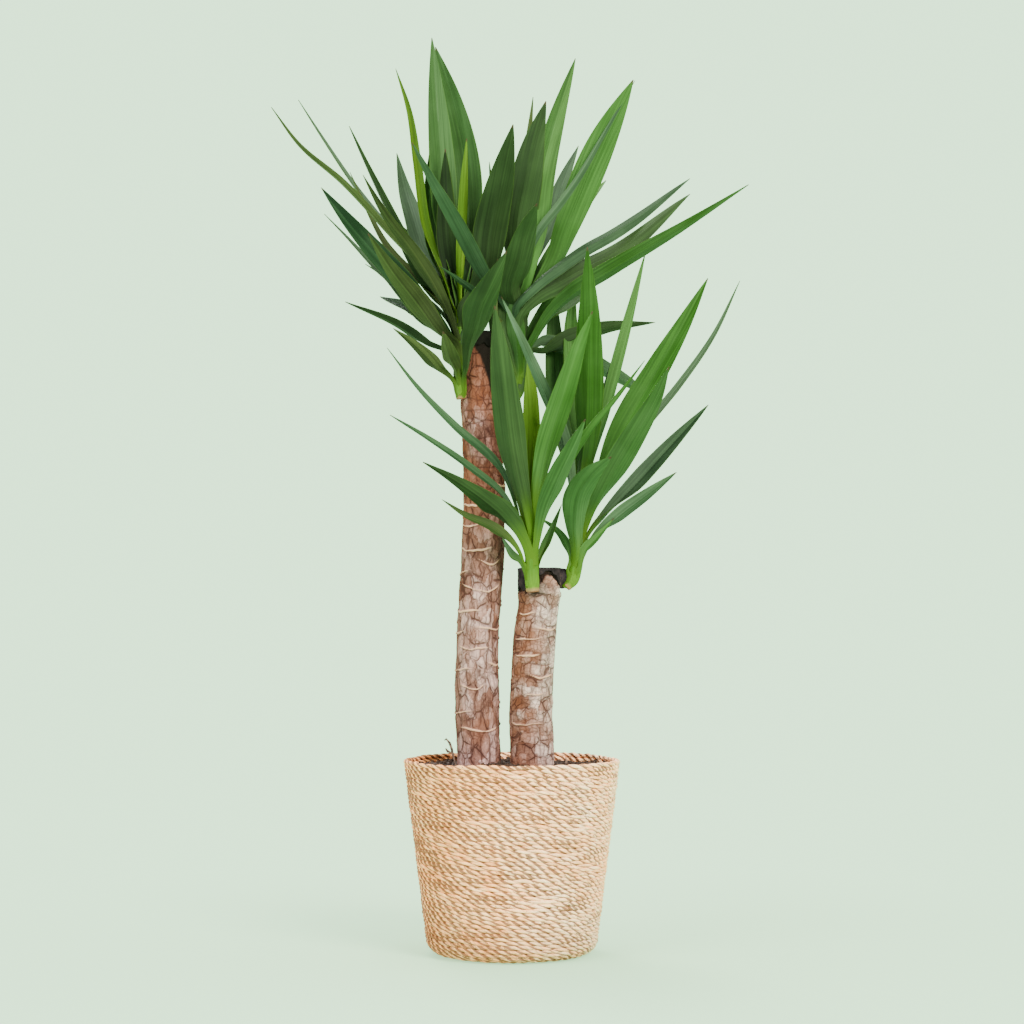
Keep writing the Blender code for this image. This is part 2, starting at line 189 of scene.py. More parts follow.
def build_floor():
    """A round floor that glows like the air, except near the pot."""
    bpy.ops.mesh.primitive_circle_add(vertices=96, radius=FLOOR_RADIUS, fill_type="NGON",
                                      location=(0.0, 0.0, -FLOOR_DROP))
    floor = bpy.context.object
    floor.name = "studio_floor"
    bpy.ops.object.transform_apply(location=True, rotation=False, scale=False)
    material, tree, shader = new_material("studio_floor_paint", 0.9, 0.1)
    shader.inputs["Base Color"].default_value = FLOOR_PAINT
    length = node(tree, "VectorMath", {0: object_place(tree)}, operation="LENGTH").outputs["Value"]
    glow = node(tree, "Emission", {"Color": AIR, "Strength": AIR_GLOW})
    far = spread(tree, length, 0.12, 0.8, 0.35, 1.0)
    both = node(tree, "MixShader", {0: far, 1: shader.outputs["BSDF"], 2: glow.outputs["Emission"]})
    tree.links.new(both.outputs["Shader"], tree.nodes["Material Output"].inputs["Surface"])
    floor.data.materials.append(material)
    return floor


def build_air():
    """The air: its own colour to the eye, and an even, nearly white light to everything else."""
    world = bpy.data.worlds.new("studio_air")
    world.use_nodes = True
    tree = world.node_tree
    seen = tree.nodes["Background"]
    seen.inputs["Color"].default_value = AIR
    seen.inputs["Strength"].default_value = AIR_GLOW
    light = node(tree, "Background", {"Color": (0.94, 1.0, 0.97, 1.0), "Strength": 0.62})
    ray = node(tree, "LightPath").outputs["Is Camera Ray"]
    both = node(tree, "MixShader", {0: ray, 1: light.outputs[0], 2: seen.outputs[0]})
    tree.links.new(both.outputs["Shader"], tree.nodes["World Output"].inputs["Surface"])
    bpy.context.scene.world = world


def soft_lamp(name, place, target, size, watts, colour):
    """A round lamp, turned so that it shines at its target."""
    bpy.ops.object.light_add(type="AREA", location=place)
    lamp = bpy.context.object
    lamp.name = name
    lamp.data.shape = "DISK"
    lamp.data.size = size
    lamp.data.energy = watts
    lamp.data.color = colour
    lamp.rotation_euler = (Vector(target) - Vector(place)).to_track_quat("-Z", "Y").to_euler()


build_floor()
build_air()
soft_lamp("key_lamp", (1.3, -2.0, 1.5), (0.0, 0.0, 0.45), 1.2, 165.0, (1.0, 0.98, 0.94))
soft_lamp("fill_lamp", (-1.7, -1.6, 0.9), (0.0, 0.0, 0.45), 1.5, 78.0, (0.95, 0.98, 1.0))
soft_lamp("top_lamp", (0.0, 0.2, 2.4), (0.0, 0.0, 0.5), 1.3, 60.0, (1.0, 1.0, 1.0))
soft_lamp("back_lamp", (-0.8, 1.9, 1.4), (0.0, 0.0, 0.6), 1.2, 60.0, (1.0, 1.0, 0.96))
print("studio ready")

# %% [markdown]
# ## Numbers that look random
# Nature repeats nothing exactly, but a lesson has to give the same plant each time it runs. Random draws
# alone would make a surface jagged. A lattice of scrambled numbers, smoothed between its points, gives
# waves that look random and are always the same.


# %% Noise and smooth curves in numbers
def scrambled(x, y=0.0, z=0.0):
    """A number from 0 to 1 that looks random and is always the same for the same place."""
    value = np.sin(x * 127.1 + y * 311.7 + z * 74.7) * 43758.5453
    return value - np.floor(value)


def soft_noise(x, y=0.0, z=0.0):
    """Smooth waves from -1 to 1 with bumps about one unit across."""
    x, y, z = np.broadcast_arrays(np.asarray(x, float), y, z)
    corners = [np.floor(x), np.floor(y), np.floor(z)]
    shares = [(value - corner) for value, corner in zip((x, y, z), corners)]
    shares = [share * share * (3.0 - 2.0 * share) for share in shares]
    total = np.zeros(x.shape)
    for i in (0, 1):
        for j in (0, 1):
            for k in (0, 1):
                weight = np.abs(1 - i - shares[0]) * np.abs(1 - j - shares[1]) * np.abs(1 - k - shares[2])
                total += weight * scrambled(corners[0] + i, corners[1] + j, corners[2] + k)
    return total * 2.0 - 1.0


def flowing(at, keys, values):
    """A smooth curve through values given at rising keys, read at any place."""
    keys = np.asarray(keys, float)
    values = np.asarray(values, float)
    slopes = np.gradient(values, keys)
    index = np.clip(np.searchsorted(keys, at) - 1, 0, len(keys) - 2)
    width = keys[index + 1] - keys[index]
    s = np.clip((at - keys[index]) / width, 0.0, 1.0)
    low = values[index] * (2 * s ** 3 - 3 * s ** 2 + 1) + width * slopes[index] * (s ** 3 - 2 * s ** 2 + s)
    high = values[index + 1] * (3 * s ** 2 - 2 * s ** 3) + width * slopes[index + 1] * (s ** 3 - s ** 2)
    return low + high


def flowing_line(at, keys, points):
    """Places on a smooth line through points given at rising keys."""
    return np.stack([flowing(at, keys, points[:, axis]) for axis in range(points.shape[1])], 1)


def run_along(points):
    """How far along a line each of its points lies."""
    return np.concatenate([[0.0], np.cumsum(np.linalg.norm(np.diff(points, axis=0), axis=1))])


def eased(value, low, high):
    """0 below low, 1 above high and a soft step between."""
    share = np.clip((value - low) / (high - low), 0.0, 1.0)
    return share * share * (3.0 - 2.0 * share)


def bell(value, width):
    """1 where the value is 0, falling softly to nothing beyond the width."""
    return np.exp(-(value / width) ** 2)


print("noise sample", round(float(soft_noise(0.3, 0.7)), 3))

# %% [markdown]
# ## Sheets
# Bark, soil, wax and leaves all start as one flat grid. They could be sculpted by hand, but a grid whose
# points follow rules gives sixty-six leaves their own shapes from a few numbers each. A grid is rolled
# into a tube for a cane, or bent into a blade for a leaf. A value kept at each point, such as how deep a
# crack is there, drives the colour later, so the paint and the shape always agree. Strands and fibres
# start as curves with a round bevel instead.


# %% Sheet and tube helpers
def choose(piece):
    """Selects only this piece and makes it the active one, as a click on it would."""
    bpy.ops.object.select_all(action="DESELECT")
    piece.select_set(True)
    bpy.context.view_layer.objects.active = piece


def sheet(name, across, along):
    """A grid of quads, active and selected, with each point's share across and along it."""
    bpy.ops.object.select_all(action="DESELECT")
    bpy.ops.mesh.primitive_grid_add(x_subdivisions=across, y_subdivisions=along, size=2.0)
    piece = bpy.context.object
    piece.name = name
    piece.data.name = name
    points = np.empty(len(piece.data.vertices) * 3)
    piece.data.vertices.foreach_get("co", points)
    points = points.reshape(-1, 3)
    return piece, (points[:, 0] + 1.0) / 2.0, (points[:, 1] + 1.0) / 2.0


def put_points(piece, points):
    piece.data.vertices.foreach_set("co", np.asarray(points, np.float32).ravel())
    piece.data.update()


def keep(piece, name, values):
    """Keeps a number at each point of a mesh, for its material to read."""
    kept = piece.data.attributes.new(name, "FLOAT", "POINT")
    kept.data.foreach_set("value", np.asarray(values, np.float32).ravel())


def keep_place(piece, name, places):
    """Keeps a place at each point of a mesh, for patterns that follow the piece."""
    kept = piece.data.attributes.new(name, "FLOAT_VECTOR", "POINT")
    kept.data.foreach_set("vector", np.asarray(places, np.float32).ravel())


def sew(piece, fill=False):
    """Merges the points that meet at seams and poles, closes open ends and turns the faces outwards."""
    bpy.ops.object.mode_set(mode="EDIT")
    bpy.ops.mesh.select_all(action="SELECT")
    bpy.ops.mesh.remove_doubles(threshold=0.00002)
    if fill:
        bpy.ops.mesh.fill_holes(sides=0)
    bpy.ops.mesh.normals_make_consistent(inside=False)
    bpy.ops.object.mode_set(mode="OBJECT")
    piece.data.shade_smooth()


def tubes(name, lines, thickness, roundness):
    """Round tubes in one mesh. Each line is its points, and the share of the thickness at each of them."""
    curve = bpy.data.curves.new(name, "CURVE")
    curve.dimensions = "3D"
    curve.bevel_depth = thickness
    curve.bevel_resolution = roundness
    curve.use_fill_caps = True
    for points, shares in lines:
        spline = curve.splines.new("POLY")
        spline.points.add(len(points) - 1)
        spline.points.foreach_set("co", np.column_stack([points, np.ones(len(points))]).ravel())
        spline.points.foreach_set("radius", shares)
    piece = bpy.data.objects.new(name, curve)
    bpy.context.scene.collection.objects.link(piece)
    choose(piece)
    bpy.ops.object.convert(target="MESH")
    piece = bpy.context.object
    piece.data.shade_smooth()
    return piece


def join(pieces, name):
    bpy.ops.object.select_all(action="DESELECT")
    for piece in pieces:
        piece.select_set(True)
    bpy.context.view_layer.objects.active = pieces[0]
    bpy.ops.object.join()
    joined = bpy.context.object
    joined.name = name
    joined.data.name = name
    return joined


def stands_for(piece, slot, *nodes):
    """The piece rides on the one body and hides the plain nodes it replaces. The slot is not used."""
    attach(piece, "root")
    if nodes:
        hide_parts(*nodes)
    return piece


def triangles(piece):
    return sum(len(face.vertices) - 2 for face in piece.data.polygons)


# %% [markdown]
# ## The basket: its rope
# The basket is one long two-ply rope of twisted seagrass. It is coiled flat from the middle of the base,
# round the lower edge and up the wall, and each turn is stitched to the one below. A plain cone with a
# woven pattern would be quicker, but its outline and its rim would be smooth. So the rope is real, and
# first it needs a line to follow. Each turn runs level and climbs to the next one at the back, so that
# the rim is level, and the last end is tucked inwards.

# %% The line that the rope follows
basket_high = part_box("basket")[1]
RIM_RADIUS = basket_high.x
BASKET_HEIGHT = basket_high.z
BASE_RADIUS = 0.0815
EDGE_RADIUS = 0.015
FLAT_RADIUS = BASE_RADIUS - EDGE_RADIUS + 0.002
FIRST_TURN_RADIUS = 3.0 * MM
ROPE_RADIUS = 2.45 * MM
ROPE_PITCH = 3.9 * MM  # from one turn to the next
STATION = 2.45 * MM  # from one point on the rope's line to the next
CLIMB_FROM = 0.72  # the share of a turn where the rope starts to climb
LAST_TURN = 0.97  # the share of a last, level turn that closes the rim
BACK_START = math.radians(140.0)  # where each turn starts, so that the climb lies at the back
TUCKED_END = 0.05  # how much of the rope's last end bends inwards


def rope_profile():
    """Half of the basket's section as seen by the rope's middle: out along the base, round and up."""
    bend = EDGE_RADIUS - ROPE_RADIUS
    turn = np.radians(np.linspace(-90.0, 0.0, 12))[1:]
    rim_out, rim_up = RIM_RADIUS - ROPE_RADIUS, BASKET_HEIGHT - ROPE_RADIUS
    out = np.concatenate([[FIRST_TURN_RADIUS, FLAT_RADIUS], FLAT_RADIUS + bend * np.cos(turn), [rim_out]])
    up = np.concatenate([[ROPE_RADIUS] * 2, EDGE_RADIUS + bend * np.sin(turn), [rim_up]])
    length = run_along(np.stack([out, up], 1))
    fine = np.linspace(0.0, length[-1], 2000)
    return fine, np.interp(fine, length, out), np.interp(fine, length, up)


def rope_row(t, turns):
    """The rope's row after t turns: level, then climbing at the back. The last row stays level."""
    return np.minimum(np.floor(t) + eased(t % 1.0, CLIMB_FROM, 1.0), turns)


def hand_made(around, row):
    """How far the rope sways along the wall and bulges out of it, because it was coiled by hand."""
    x, y = around.T
    sway = 0.75 * MM * soft_noise(x * 5.0, y * 5.0, row * 0.3)
    sway += 0.4 * MM * soft_noise(x * 9.0, y * 9.0 + 4.0, row * 0.8)
    bulge = 0.4 * MM * soft_noise(x * 7.0 + 9.0, y * 7.0, row * 0.9)
    return sway, bulge - 0.25 * MM


def rope_line():
    """Points along the rope's middle with the outward and the climbing direction at each."""
    length, out, up = rope_profile()
    turns = round(length[-1] / ROPE_PITCH)
    pitch = length[-1] / turns
    t = np.linspace(0.0, turns + LAST_TURN, 400000)
    radius = np.interp(pitch * rope_row(t, turns), length, out)
    run = np.concatenate([[0.0], np.cumsum((radius[1:] + radius[:-1]) / 2 * np.diff(t) * 2 * math.pi)])
    stations = np.arange(0.0, run[-1], STATION)
    t = np.interp(stations, run, t)
    level = pitch * rope_row(t, turns)
    angle = 2 * math.pi * t + BACK_START
    around = np.stack([np.cos(angle), np.sin(angle)], 1)
    steep_out = np.interp(level, length, np.gradient(out, length))
    steep_up = np.interp(level, length, np.gradient(up, length))
    ahead = np.column_stack([steep_out[:, None] * around, steep_up])
    outward = np.column_stack([steep_up[:, None] * around, -steep_out])
    sway, bulge = hand_made(around, level / pitch)
    tuck = eased(stations, run[-1] - TUCKED_END, run[-1])
    reach = np.interp(level, length, out)
    middle = np.column_stack([reach[:, None] * around, np.interp(level, length, up)])
    middle += ahead * sway[:, None] + outward * (bulge - tuck * 4.5 * MM)[:, None]
    middle[:, 2] -= tuck * 2.0 * MM
    middle[:, 2] += 1.6 * MM * eased(around[:, 1], 0.1, 0.9) * eased(middle[:, 2], 0.12, 0.18)
    middle[:, 2] = np.maximum(middle[:, 2], ROPE_RADIUS)
    return stations, middle, outward, ahead


rope_run, rope_middle, rope_outward, rope_ahead = rope_line()
print("rope length", round(float(rope_run[-1]), 2), "m in", len(rope_run), "stations")

# %% [markdown]
# The finish of seagrass: straw and peach blades lie side by side in each strand, and the odd blade is
# darker. The hollows between strands, the slits where they touch and small gaps between blades are
# painted brown as shade. Painted light makes the right side paler and the left darker and more orange,
# and painted shade darkens the lowest turns. A pattern that only knew its place in the room would run
# straight through the twist. The kept values follow the strand, so the blades turn with it.


# %% Seagrass finish
LEFT_PAINTED_SHADE = (1.14, 0.76, 0.51, 1.0)
RIGHT_PAINTED_LIGHT = (1.24, 1.10, 1.13, 1.0)
PAINTED_HOLLOW_SHADE = (0.13, 0.046, 0.016, 1.0)
PAINTED_GAP_SHADE = (0.16, 0.06, 0.022, 1.0)


def seagrass_material():
    """Straw blades, with painted shade in hollows, slits, gaps and low turns, and painted light on the
    right.
    """
    material, tree, shader = new_material("seagrass", 0.82, 0.25)
    along = attribute(tree, "along", "Vector")
    blades = noise(tree, along, 1.0, (28.0, 1500.0, 1500.0), 3.0, 0.6)
    lengths = noise(tree, along, 1.0, (34.0, 160.0, 160.0), 2.0)
    place = object_place(tree)
    patches = noise(tree, place, 16.0, detail=2.0)
    tone = plus(tree, times(tree, lengths, 0.62), times(tree, patches, 0.38))
    straw = ramp(tree, tone, [
        (0.28, (0.74, 0.35, 0.13)), (0.42, (0.98, 0.54, 0.24)), (0.53, (1.0, 0.68, 0.37)),
        (0.68, (1.0, 0.79, 0.52)),
    ])
    colour = shaded(tree, straw, spread(tree, blades, 0.3, 0.62, 0.6, 1.2))
    axes = node(tree, "SeparateXYZ", {0: place}).outputs
    # Painted light from side to side: the left side is darker and more orange, the right side paler.
    painted_side_light = mix(tree, spread(tree, axes["X"], -0.10, 0.10), LEFT_PAINTED_SHADE, RIGHT_PAINTED_LIGHT)
    colour = mix(tree, 1.0, colour, painted_side_light, "MULTIPLY")
    # Painted shade: the lowest turns, near the floor, are darker.
    colour = shaded(tree, colour, spread(tree, axes["Z"], 0.0, 0.06, 0.72, 1.0))
    # Painted shade in the hollows between strands, and in the slits where the strands touch.
    colour = mix(tree, spread(tree, attribute(tree, "exposure"), 0.0, 0.075), PAINTED_HOLLOW_SHADE, colour)
    slit = spread(tree, plus(tree, attribute(tree, "touch"), times(tree, blades, 0.6)), 0.86, 1.06)
    colour = mix(tree, times(tree, slit, 0.85), colour, PAINTED_HOLLOW_SHADE)
    # Painted shade in small gaps between blades, which the relief also sinks.
    gaps = spread(tree, noise(tree, along, 1.0, (120.0, 620.0, 620.0), 2.0, 0.6), 0.60, 0.68)
    colour = mix(tree, times(tree, gaps, 0.75), colour, PAINTED_GAP_SHADE)
    feed(tree, shader.inputs["Base Color"], colour)
    bump(tree, shader, maths(tree, "SUBTRACT", blades, times(tree, gaps, 0.6)), 0.0008, 0.9)
    return material


seagrass = seagrass_material()
print("finish:", seagrass.name)

# %% [markdown]
# Two strands, half a turn apart, make the rope. One short link of rope could be copied along the line,
# but then every twist would be the same. Instead each strand is one curve that winds round the rope's
# line, with a round bevel. Its twist runs a little ahead and lags behind, as in rope made by hand. The
# rope is cut into three pieces, so that none of them has too many faces.


# %% Wind the two strands and turn them into meshes
TWIST_LENGTH = 21.0 * MM
TWIST_DRIFT = 4.0  # radians by which the twist runs ahead or lags behind
DRIFT_LENGTH = 0.05
STRAND_LIE = 0.76 * MM  # from the rope's middle to the strand's middle
STRAND_RADIUS = 1.74 * MM
BLADE_TURN = 16.0 * MM  # in which the blades of a strand turn once round it


def wind_strand(name, first, last, ply):
    """One strand of the rope between two stations, as a mesh."""
    run, middle = rope_run[first:last], rope_middle[first:last]
    outward, ahead = rope_outward[first:last], rope_ahead[first:last]
    turn = -2 * math.pi * run / TWIST_LENGTH + math.pi * ply + TWIST_DRIFT * soft_noise(run / DRIFT_LENGTH)
    to_strand = np.cos(turn)[:, None] * outward + np.sin(turn)[:, None] * ahead
    line = middle + STRAND_LIE * to_strand
    thick = 1.0 + 0.2 * soft_noise(run / 0.022, ply * 3.0 + 0.5)
    strand = tubes(name, [(line, thick)], STRAND_RADIUS, 2)
    points = np.empty(len(strand.data.vertices) * 3)
    strand.data.vertices.foreach_get("co", points)
    points = points.reshape(-1, 3)
    station = np.minimum(np.arange(len(points)) // (len(points) // len(line)), len(line) - 1)
    outward, ahead, to_strand = outward[station], ahead[station], to_strand[station]
    from_line = points - line[station]
    height = ((points - middle[station]) * outward).sum(1)
    angle = np.arctan2((from_line * ahead).sum(1), (from_line * outward).sum(1))
    angle += run[station] * 2 * math.pi / BLADE_TURN
    keep_place(strand, "along", np.stack([
        run[station] + 40.0 * ply, 1.4 * MM * np.cos(angle), 1.4 * MM * np.sin(angle)], 1))
    # Kept for painted shade: how far a point lies from the rope's mid-plane, and how much it faces the
    # other strand.
    keep(strand, "exposure", np.abs(height) / ROPE_RADIUS)
    keep(strand, "touch", -(from_line * to_strand).sum(1) / STRAND_RADIUS)
    return strand


def build_rope(name, first, last):
    strands = [wind_strand(f"{name}_{ply}", first, last, ply) for ply in (0, 1)]
    rope = join(strands, name)
    rope.data.materials.clear()
    rope.data.materials.append(seagrass)
    stands_for(rope, "basket_seagrass", "basket")
    print(name, triangles(rope), "triangles")
    return rope


base_end = int(np.searchsorted(rope_middle[:, 2] > 0.009, True))
wall_half = (base_end + len(rope_run)) // 2
build_rope("rope_base", 0, base_end + 1)
build_rope("rope_lower_wall", base_end, wall_half + 1)
build_rope("rope_upper_wall", wall_half, len(rope_run))

# %% [markdown]
# Between the turns of a real basket the stitching shows, and no light comes through. Thousands of
# stitches would hardly be seen, so one thin wall inside the coils stands for them. Its dark brown also
# stands for the shade in the gaps between the turns, as painted shade.


# %% Close the gaps between the turns
def build_core():
    """A thin wall: the stitching that holds the turns, dark brown with painted shade, letting no light
    through.
    """
    piece, u, v = sheet("rope_core", 96, 60)
    length, out, up = rope_profile()
    level = v * length[-1]
    angle = 2 * math.pi * u
    radius = np.interp(level, length, out) * eased(v, 0.0, 0.01)
    height = np.interp(level, length, up)
    put_points(piece, np.stack([radius * np.cos(angle), radius * np.sin(angle), height], 1))
    sew(piece)
    material, tree, shader = new_material("rope_core_stitching_and_shade", 0.9, 0.1)
    grain = noise(tree, object_place(tree), 500.0, detail=3.0)
    # Dark brown: the stitching, and painted shade in the gaps between the turns.
    feed(tree, shader.inputs["Base Color"], ramp(tree, grain, [
        (0.35, (0.06, 0.022, 0.009)), (0.6, (0.14, 0.055, 0.022)), (0.75, (0.26, 0.12, 0.05))]))
    bump(tree, shader, grain, 0.0005, 0.7)
    piece.data.materials.append(material)
    stands_for(piece, "basket_seagrass")
    print("core", triangles(piece), "triangles")


build_core()

# %% [markdown]
# ## The soil
# Peat soil is dark, lumpy and full of fibres. Its surface is a disc of rings with two sizes of bumps. A
# texture could push the disc up and down, but here the height is a function, because the crumbs and the
# fibres have to lie on it too. Crumbs are one rough little ball, modelled once and copied with a new size
# and turn each time.

# %% Soil surface
soil_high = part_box("soil")[1]
SOIL_LEVEL = soil_high.z - 0.001
SOIL_RADIUS = 0.0965
SOIL_BOTTOM_RADIUS = 0.074
SOIL_BOTTOM = 0.0066
DAMP_BROWN = (0.016, 0.009, 0.006, 1.0)


def soil_material():
    """Dark crumbs with damper patches."""
    material, tree, shader = new_material("peat_soil", 0.95, 0.2)
    place = object_place(tree)
    crumbs = noise(tree, place, 420.0, detail=4.0, roughness=0.7)
    damp = noise(tree, place, 45.0, detail=2.0)
    colour = ramp(tree, crumbs, [
        (0.30, (0.012, 0.007, 0.004)), (0.52, (0.050, 0.028, 0.017)), (0.70, (0.115, 0.068, 0.042)),
    ])
    colour = mix(tree, spread(tree, damp, 0.4, 0.62, 0.0, 0.45), colour, DAMP_BROWN)
    feed(tree, shader.inputs["Base Color"], colour)
    bump(tree, shader, crumbs, 0.0012, 0.9)
    return material


def soil_height(x, y):
    """Height of the loose surface: low waves, lumps, and a slight heap round the canes."""
    lumps = 1.5 * MM * soft_noise(x / 0.016, y / 0.016) + 0.8 * MM * soft_noise(x / 0.006, y / 0.006, 5.0)
    heap = 2.5 * MM * np.exp(-((x + 0.002) ** 2 + y ** 2) / 0.05 ** 2)
    return SOIL_LEVEL + lumps + heap + 0.0025


def build_soil_body():
    """The bumpy surface, with plain sides and a plain underside below it."""
    piece, u, v = sheet("soil_body", 220, 100)
    angle = 2 * math.pi * u
    top = 0.82
    radius = SOIL_RADIUS * np.where(v < top, v / top, 1.0) ** 0.9
    deep = np.clip((v - top) / (1 - top), 0.0, 1.0)
    side_radius = np.interp(deep, [0.0, 0.4, 1.0], [SOIL_RADIUS, SOIL_BOTTOM_RADIUS, 0.0])
    side_height = np.interp(deep, [0.0, 0.4, 1.0], [SOIL_LEVEL - 0.004, SOIL_BOTTOM, SOIL_BOTTOM])
    radius = np.where(deep > 0, side_radius, radius)
    x, y = radius * np.cos(angle), radius * np.sin(angle)
    z = np.where(deep > 0, side_height, soil_height(x, y))
    put_points(piece, np.stack([x, y, z], 1))
    sew(piece)
    return piece


def crumb_shape():
    """One rough crumb, about one unit across."""
    bpy.ops.object.select_all(action="DESELECT")
    bpy.ops.mesh.primitive_ico_sphere_add(subdivisions=1, radius=0.5)
    crumb = bpy.context.object
    points = np.array([vert.co[:] for vert in crumb.data.vertices])
    points *= 1.0 + 0.35 * (scrambled(points[:, 0] * 9, points[:, 1] * 9, points[:, 2] * 9)[:, None] - 0.5)
    faces = np.array([face.vertices[:] for face in crumb.data.polygons])
    bpy.data.objects.remove(crumb, do_unlink=True)
    return points, faces


def scatter_crumbs(count):
    """Copies of the crumb over the soil, each with its own size, turn and place."""
    points, faces = crumb_shape()
    chance = np.random.default_rng(7)
    all_points, all_faces = [], []
    for index in range(count):
        radius = SOIL_RADIUS * math.sqrt(chance.random()) * 0.985
        angle = 2 * math.pi * chance.random()
        size = (1.2 + 3.4 * chance.random() ** 2.5) * MM
        turn = chance.random((3, 3)) - 0.5
        turn = np.linalg.qr(turn)[0] * size * (0.7 + 0.6 * chance.random(3))
        x, y = radius * math.cos(angle), radius * math.sin(angle)
        middle = np.array([x, y, float(soil_height(x, y)) + 0.15 * size])
        all_points.append(points @ turn + middle)
        all_faces.append(faces + index * len(points))
    mesh = bpy.data.meshes.new("soil_crumbs")
    mesh.from_pydata(np.concatenate(all_points).tolist(), [], np.concatenate(all_faces).tolist())
    crumbs = bpy.data.objects.new("soil_crumbs", mesh)
    bpy.context.scene.collection.objects.link(crumbs)
    choose(crumbs)
    sew(crumbs)
    return crumbs


CRUMBS = 900
peat = soil_material()
soil_surface = join([build_soil_body(), scatter_crumbs(CRUMBS)], "soil_surface")
soil_surface.data.materials.append(peat)
stands_for(soil_surface, "potting_soil", "soil")
print("soil", triangles(soil_surface), "triangles")


# %% [markdown]
# Thin dry things lie in the soil: root fibres, a chip of bark, and one dark curled root by the tall cane.
# Flat strips would vanish when they are seen from the side, so each is a short curve with a round bevel
# that thins towards its ends.


# %% Fibres, roots and a chip in the soil
def dry_material():
    """Dry root and bark: dark, with paler flecks."""
    material, tree, shader = new_material("dry_fibre", 0.85, 0.3)
    grain = noise(tree, object_place(tree), 300.0, detail=3.0)
    feed(tree, shader.inputs["Base Color"], ramp(tree, grain, [
        (0.35, (0.020, 0.013, 0.010)), (0.5, (0.06, 0.036, 0.026)), (0.72, (0.24, 0.15, 0.10)),
    ]))
    bump(tree, shader, grain, 0.0006, 0.6)
    return material


def tapered(line):
    """A line with the share of its thickness at each point: full in the middle, thin at both ends."""
    share = np.clip(np.linspace(0.0, 1.0, len(line)), 0.03, 0.97)
    return np.array(line), 0.35 + 0.65 * np.sin(math.pi * share)


def fibre_lines(count):
    """Short bent lines scattered over the soil. A line stops before it meets the basket."""
    chance = np.random.default_rng(21)
    lines = []
    for _ in range(count):
        radius = SOIL_RADIUS * math.sqrt(chance.random()) * 0.93
        angle = 2 * math.pi * chance.random()
        heading = 2 * math.pi * chance.random()
        bend = (chance.random() - 0.5) * 1.4
        step = (1.0 + 2.2 * chance.random()) * MM
        x, y = radius * math.cos(angle), radius * math.sin(angle)
        line = []
        for index in range(6):
            line.append((x, y, float(soil_height(x, y)) + 0.5 * MM + 0.8 * MM * chance.random()))
            heading += bend / 5
            x += step * math.cos(heading)
            y += step * math.sin(heading)
            if math.hypot(x, y) > SOIL_RADIUS - 0.003:
                break
        if len(line) > 2:
            lines.append(line)
    return lines


FIBRES = 110
FIBRE_RADIUS = 0.28 * MM
ROOT_RADIUS = 1.3 * MM
CURLED_ROOT = [
    (-5.3, -0.9, 17.6), (-5.6, -1.0, 18.6), (-5.8, -1.0, 19.5), (-6.0, -1.0, 20.1), (-6.35, -1.0, 20.5),
    (-6.5, -1.0, 20.35),
]
ROOT_HOOK = [(-5.85, -1.0, 19.2), (-6.2, -1.05, 19.3), (-6.4, -1.1, 19.6)]
CHIP = [(5.0, -4.6, 17.9), (5.15, -4.5, 18.5), (5.1, -4.4, 18.9)]
dry = dry_material()
fine_fibres = tubes("soil_fibres", [tapered(line) for line in fibre_lines(FIBRES)], FIBRE_RADIUS, 1)
root_lines = [np.array(line) * CM for line in (CURLED_ROOT, ROOT_HOOK, CHIP)]
roots = tubes("roots", [tapered(line) for line in root_lines], ROOT_RADIUS, 2)
fibres = join([fine_fibres, roots], "soil_fibres")
fibres.data.materials.append(dry)
stands_for(fibres, "potting_soil")
print("fibres", triangles(fibres), "triangles")

# %% [markdown]
# ## The canes
# A cane is a length of yucca trunk. Each leaf that fell left a pale raised scar, like a shallow smile,
# about every 2 cm and on alternating sides. Between the scars the bark splits into plates with dark
# cracks. A bump in the finish could draw all this, but the outline would stay smooth. So the mesh is a
# fine grid rolled round the cane's bent middle line, and the same scars and cracks push its points in or
# out and are kept for the paint.

# %% Middle lines, scars and cracks
CANE_RADIUS = 2.1  # of both canes, on average
# Middle lines of the canes: (x, y, z, radius)
TALL_CANE = [
    (-3.1, 0.5, 10.0, 2.15), (-3.15, 0.5, 17.5, 2.2), (-3.4, 0.5, 24.0, 2.2), (-3.4, 0.5, 28.0, 2.15),
    (-3.25, 0.5, 32.0, 2.1), (-3.0, 0.5, 35.5, 2.15), (-2.8, 0.5, 39.5, 2.15), (-2.7, 0.5, 44.0, 2.1),
    (-2.85, 0.5, 47.5, 2.0), (-3.1, 0.5, 50.0, 1.85), (-3.35, 0.5, 53.5, 1.7), (-3.4, 0.5, 57.0, 1.55),
    (-3.4, 0.5, 60.0, 1.53),
]
SHORT_CANE = [
    (2.0, -0.5, 10.0, 2.1), (2.0, -0.5, 18.0, 2.15), (1.85, -0.5, 24.0, 2.15), (2.1, -0.5, 29.0, 2.1),
    (2.45, -0.5, 32.5, 2.05), (2.7, -0.5, 35.0, 2.05), (2.7, -0.5, 36.8, 2.03),
]
# Scars: height, angle of the lowest point (0 faces front, 90 right), reach to the left and right, rise
TALL_SCARS = [
    (44.9, 58, 28, 30, 0.3), (43.0, -25, 65, 20, 0.4), (41.0, -38, 50, 30, 0.45),
    (38.6, -25, 60, 55, 0.6), (37.25, 30, 48, 24, 0.9), (36.4, -95, 30, 65, 0.5),
    (34.7, 20, 91, 40, 1.15), (32.75, -55, 40, 68, 0.35), (31.0, 60, 72, 30, 0.55),
    (30.65, -85, 30, 50, 0.35), (29.15, -15, 45, 55, 0.4), (27.55, 60, 30, 25, 0.4),
    (27.05, -90, 30, 86, 0.45), (25.25, 2, 52, 20, 0.65), (22.9, -90, 30, 86, 0.5),
    (21.25, 30, 88, 32, 0.6),
]
SHORT_SCARS = [
    (32.5, -45, 20, 45, 0.3), (31.0, 45, 56, 25, 0.4), (30.1, -50, 20, 80, 0.15),
    (28.45, -25, 35, 48, 0.35), (26.35, 25, 42, 40, 0.6), (24.8, 10, 30, 25, 0.1),
    (21.9, -40, 25, 78, 0.35),
]
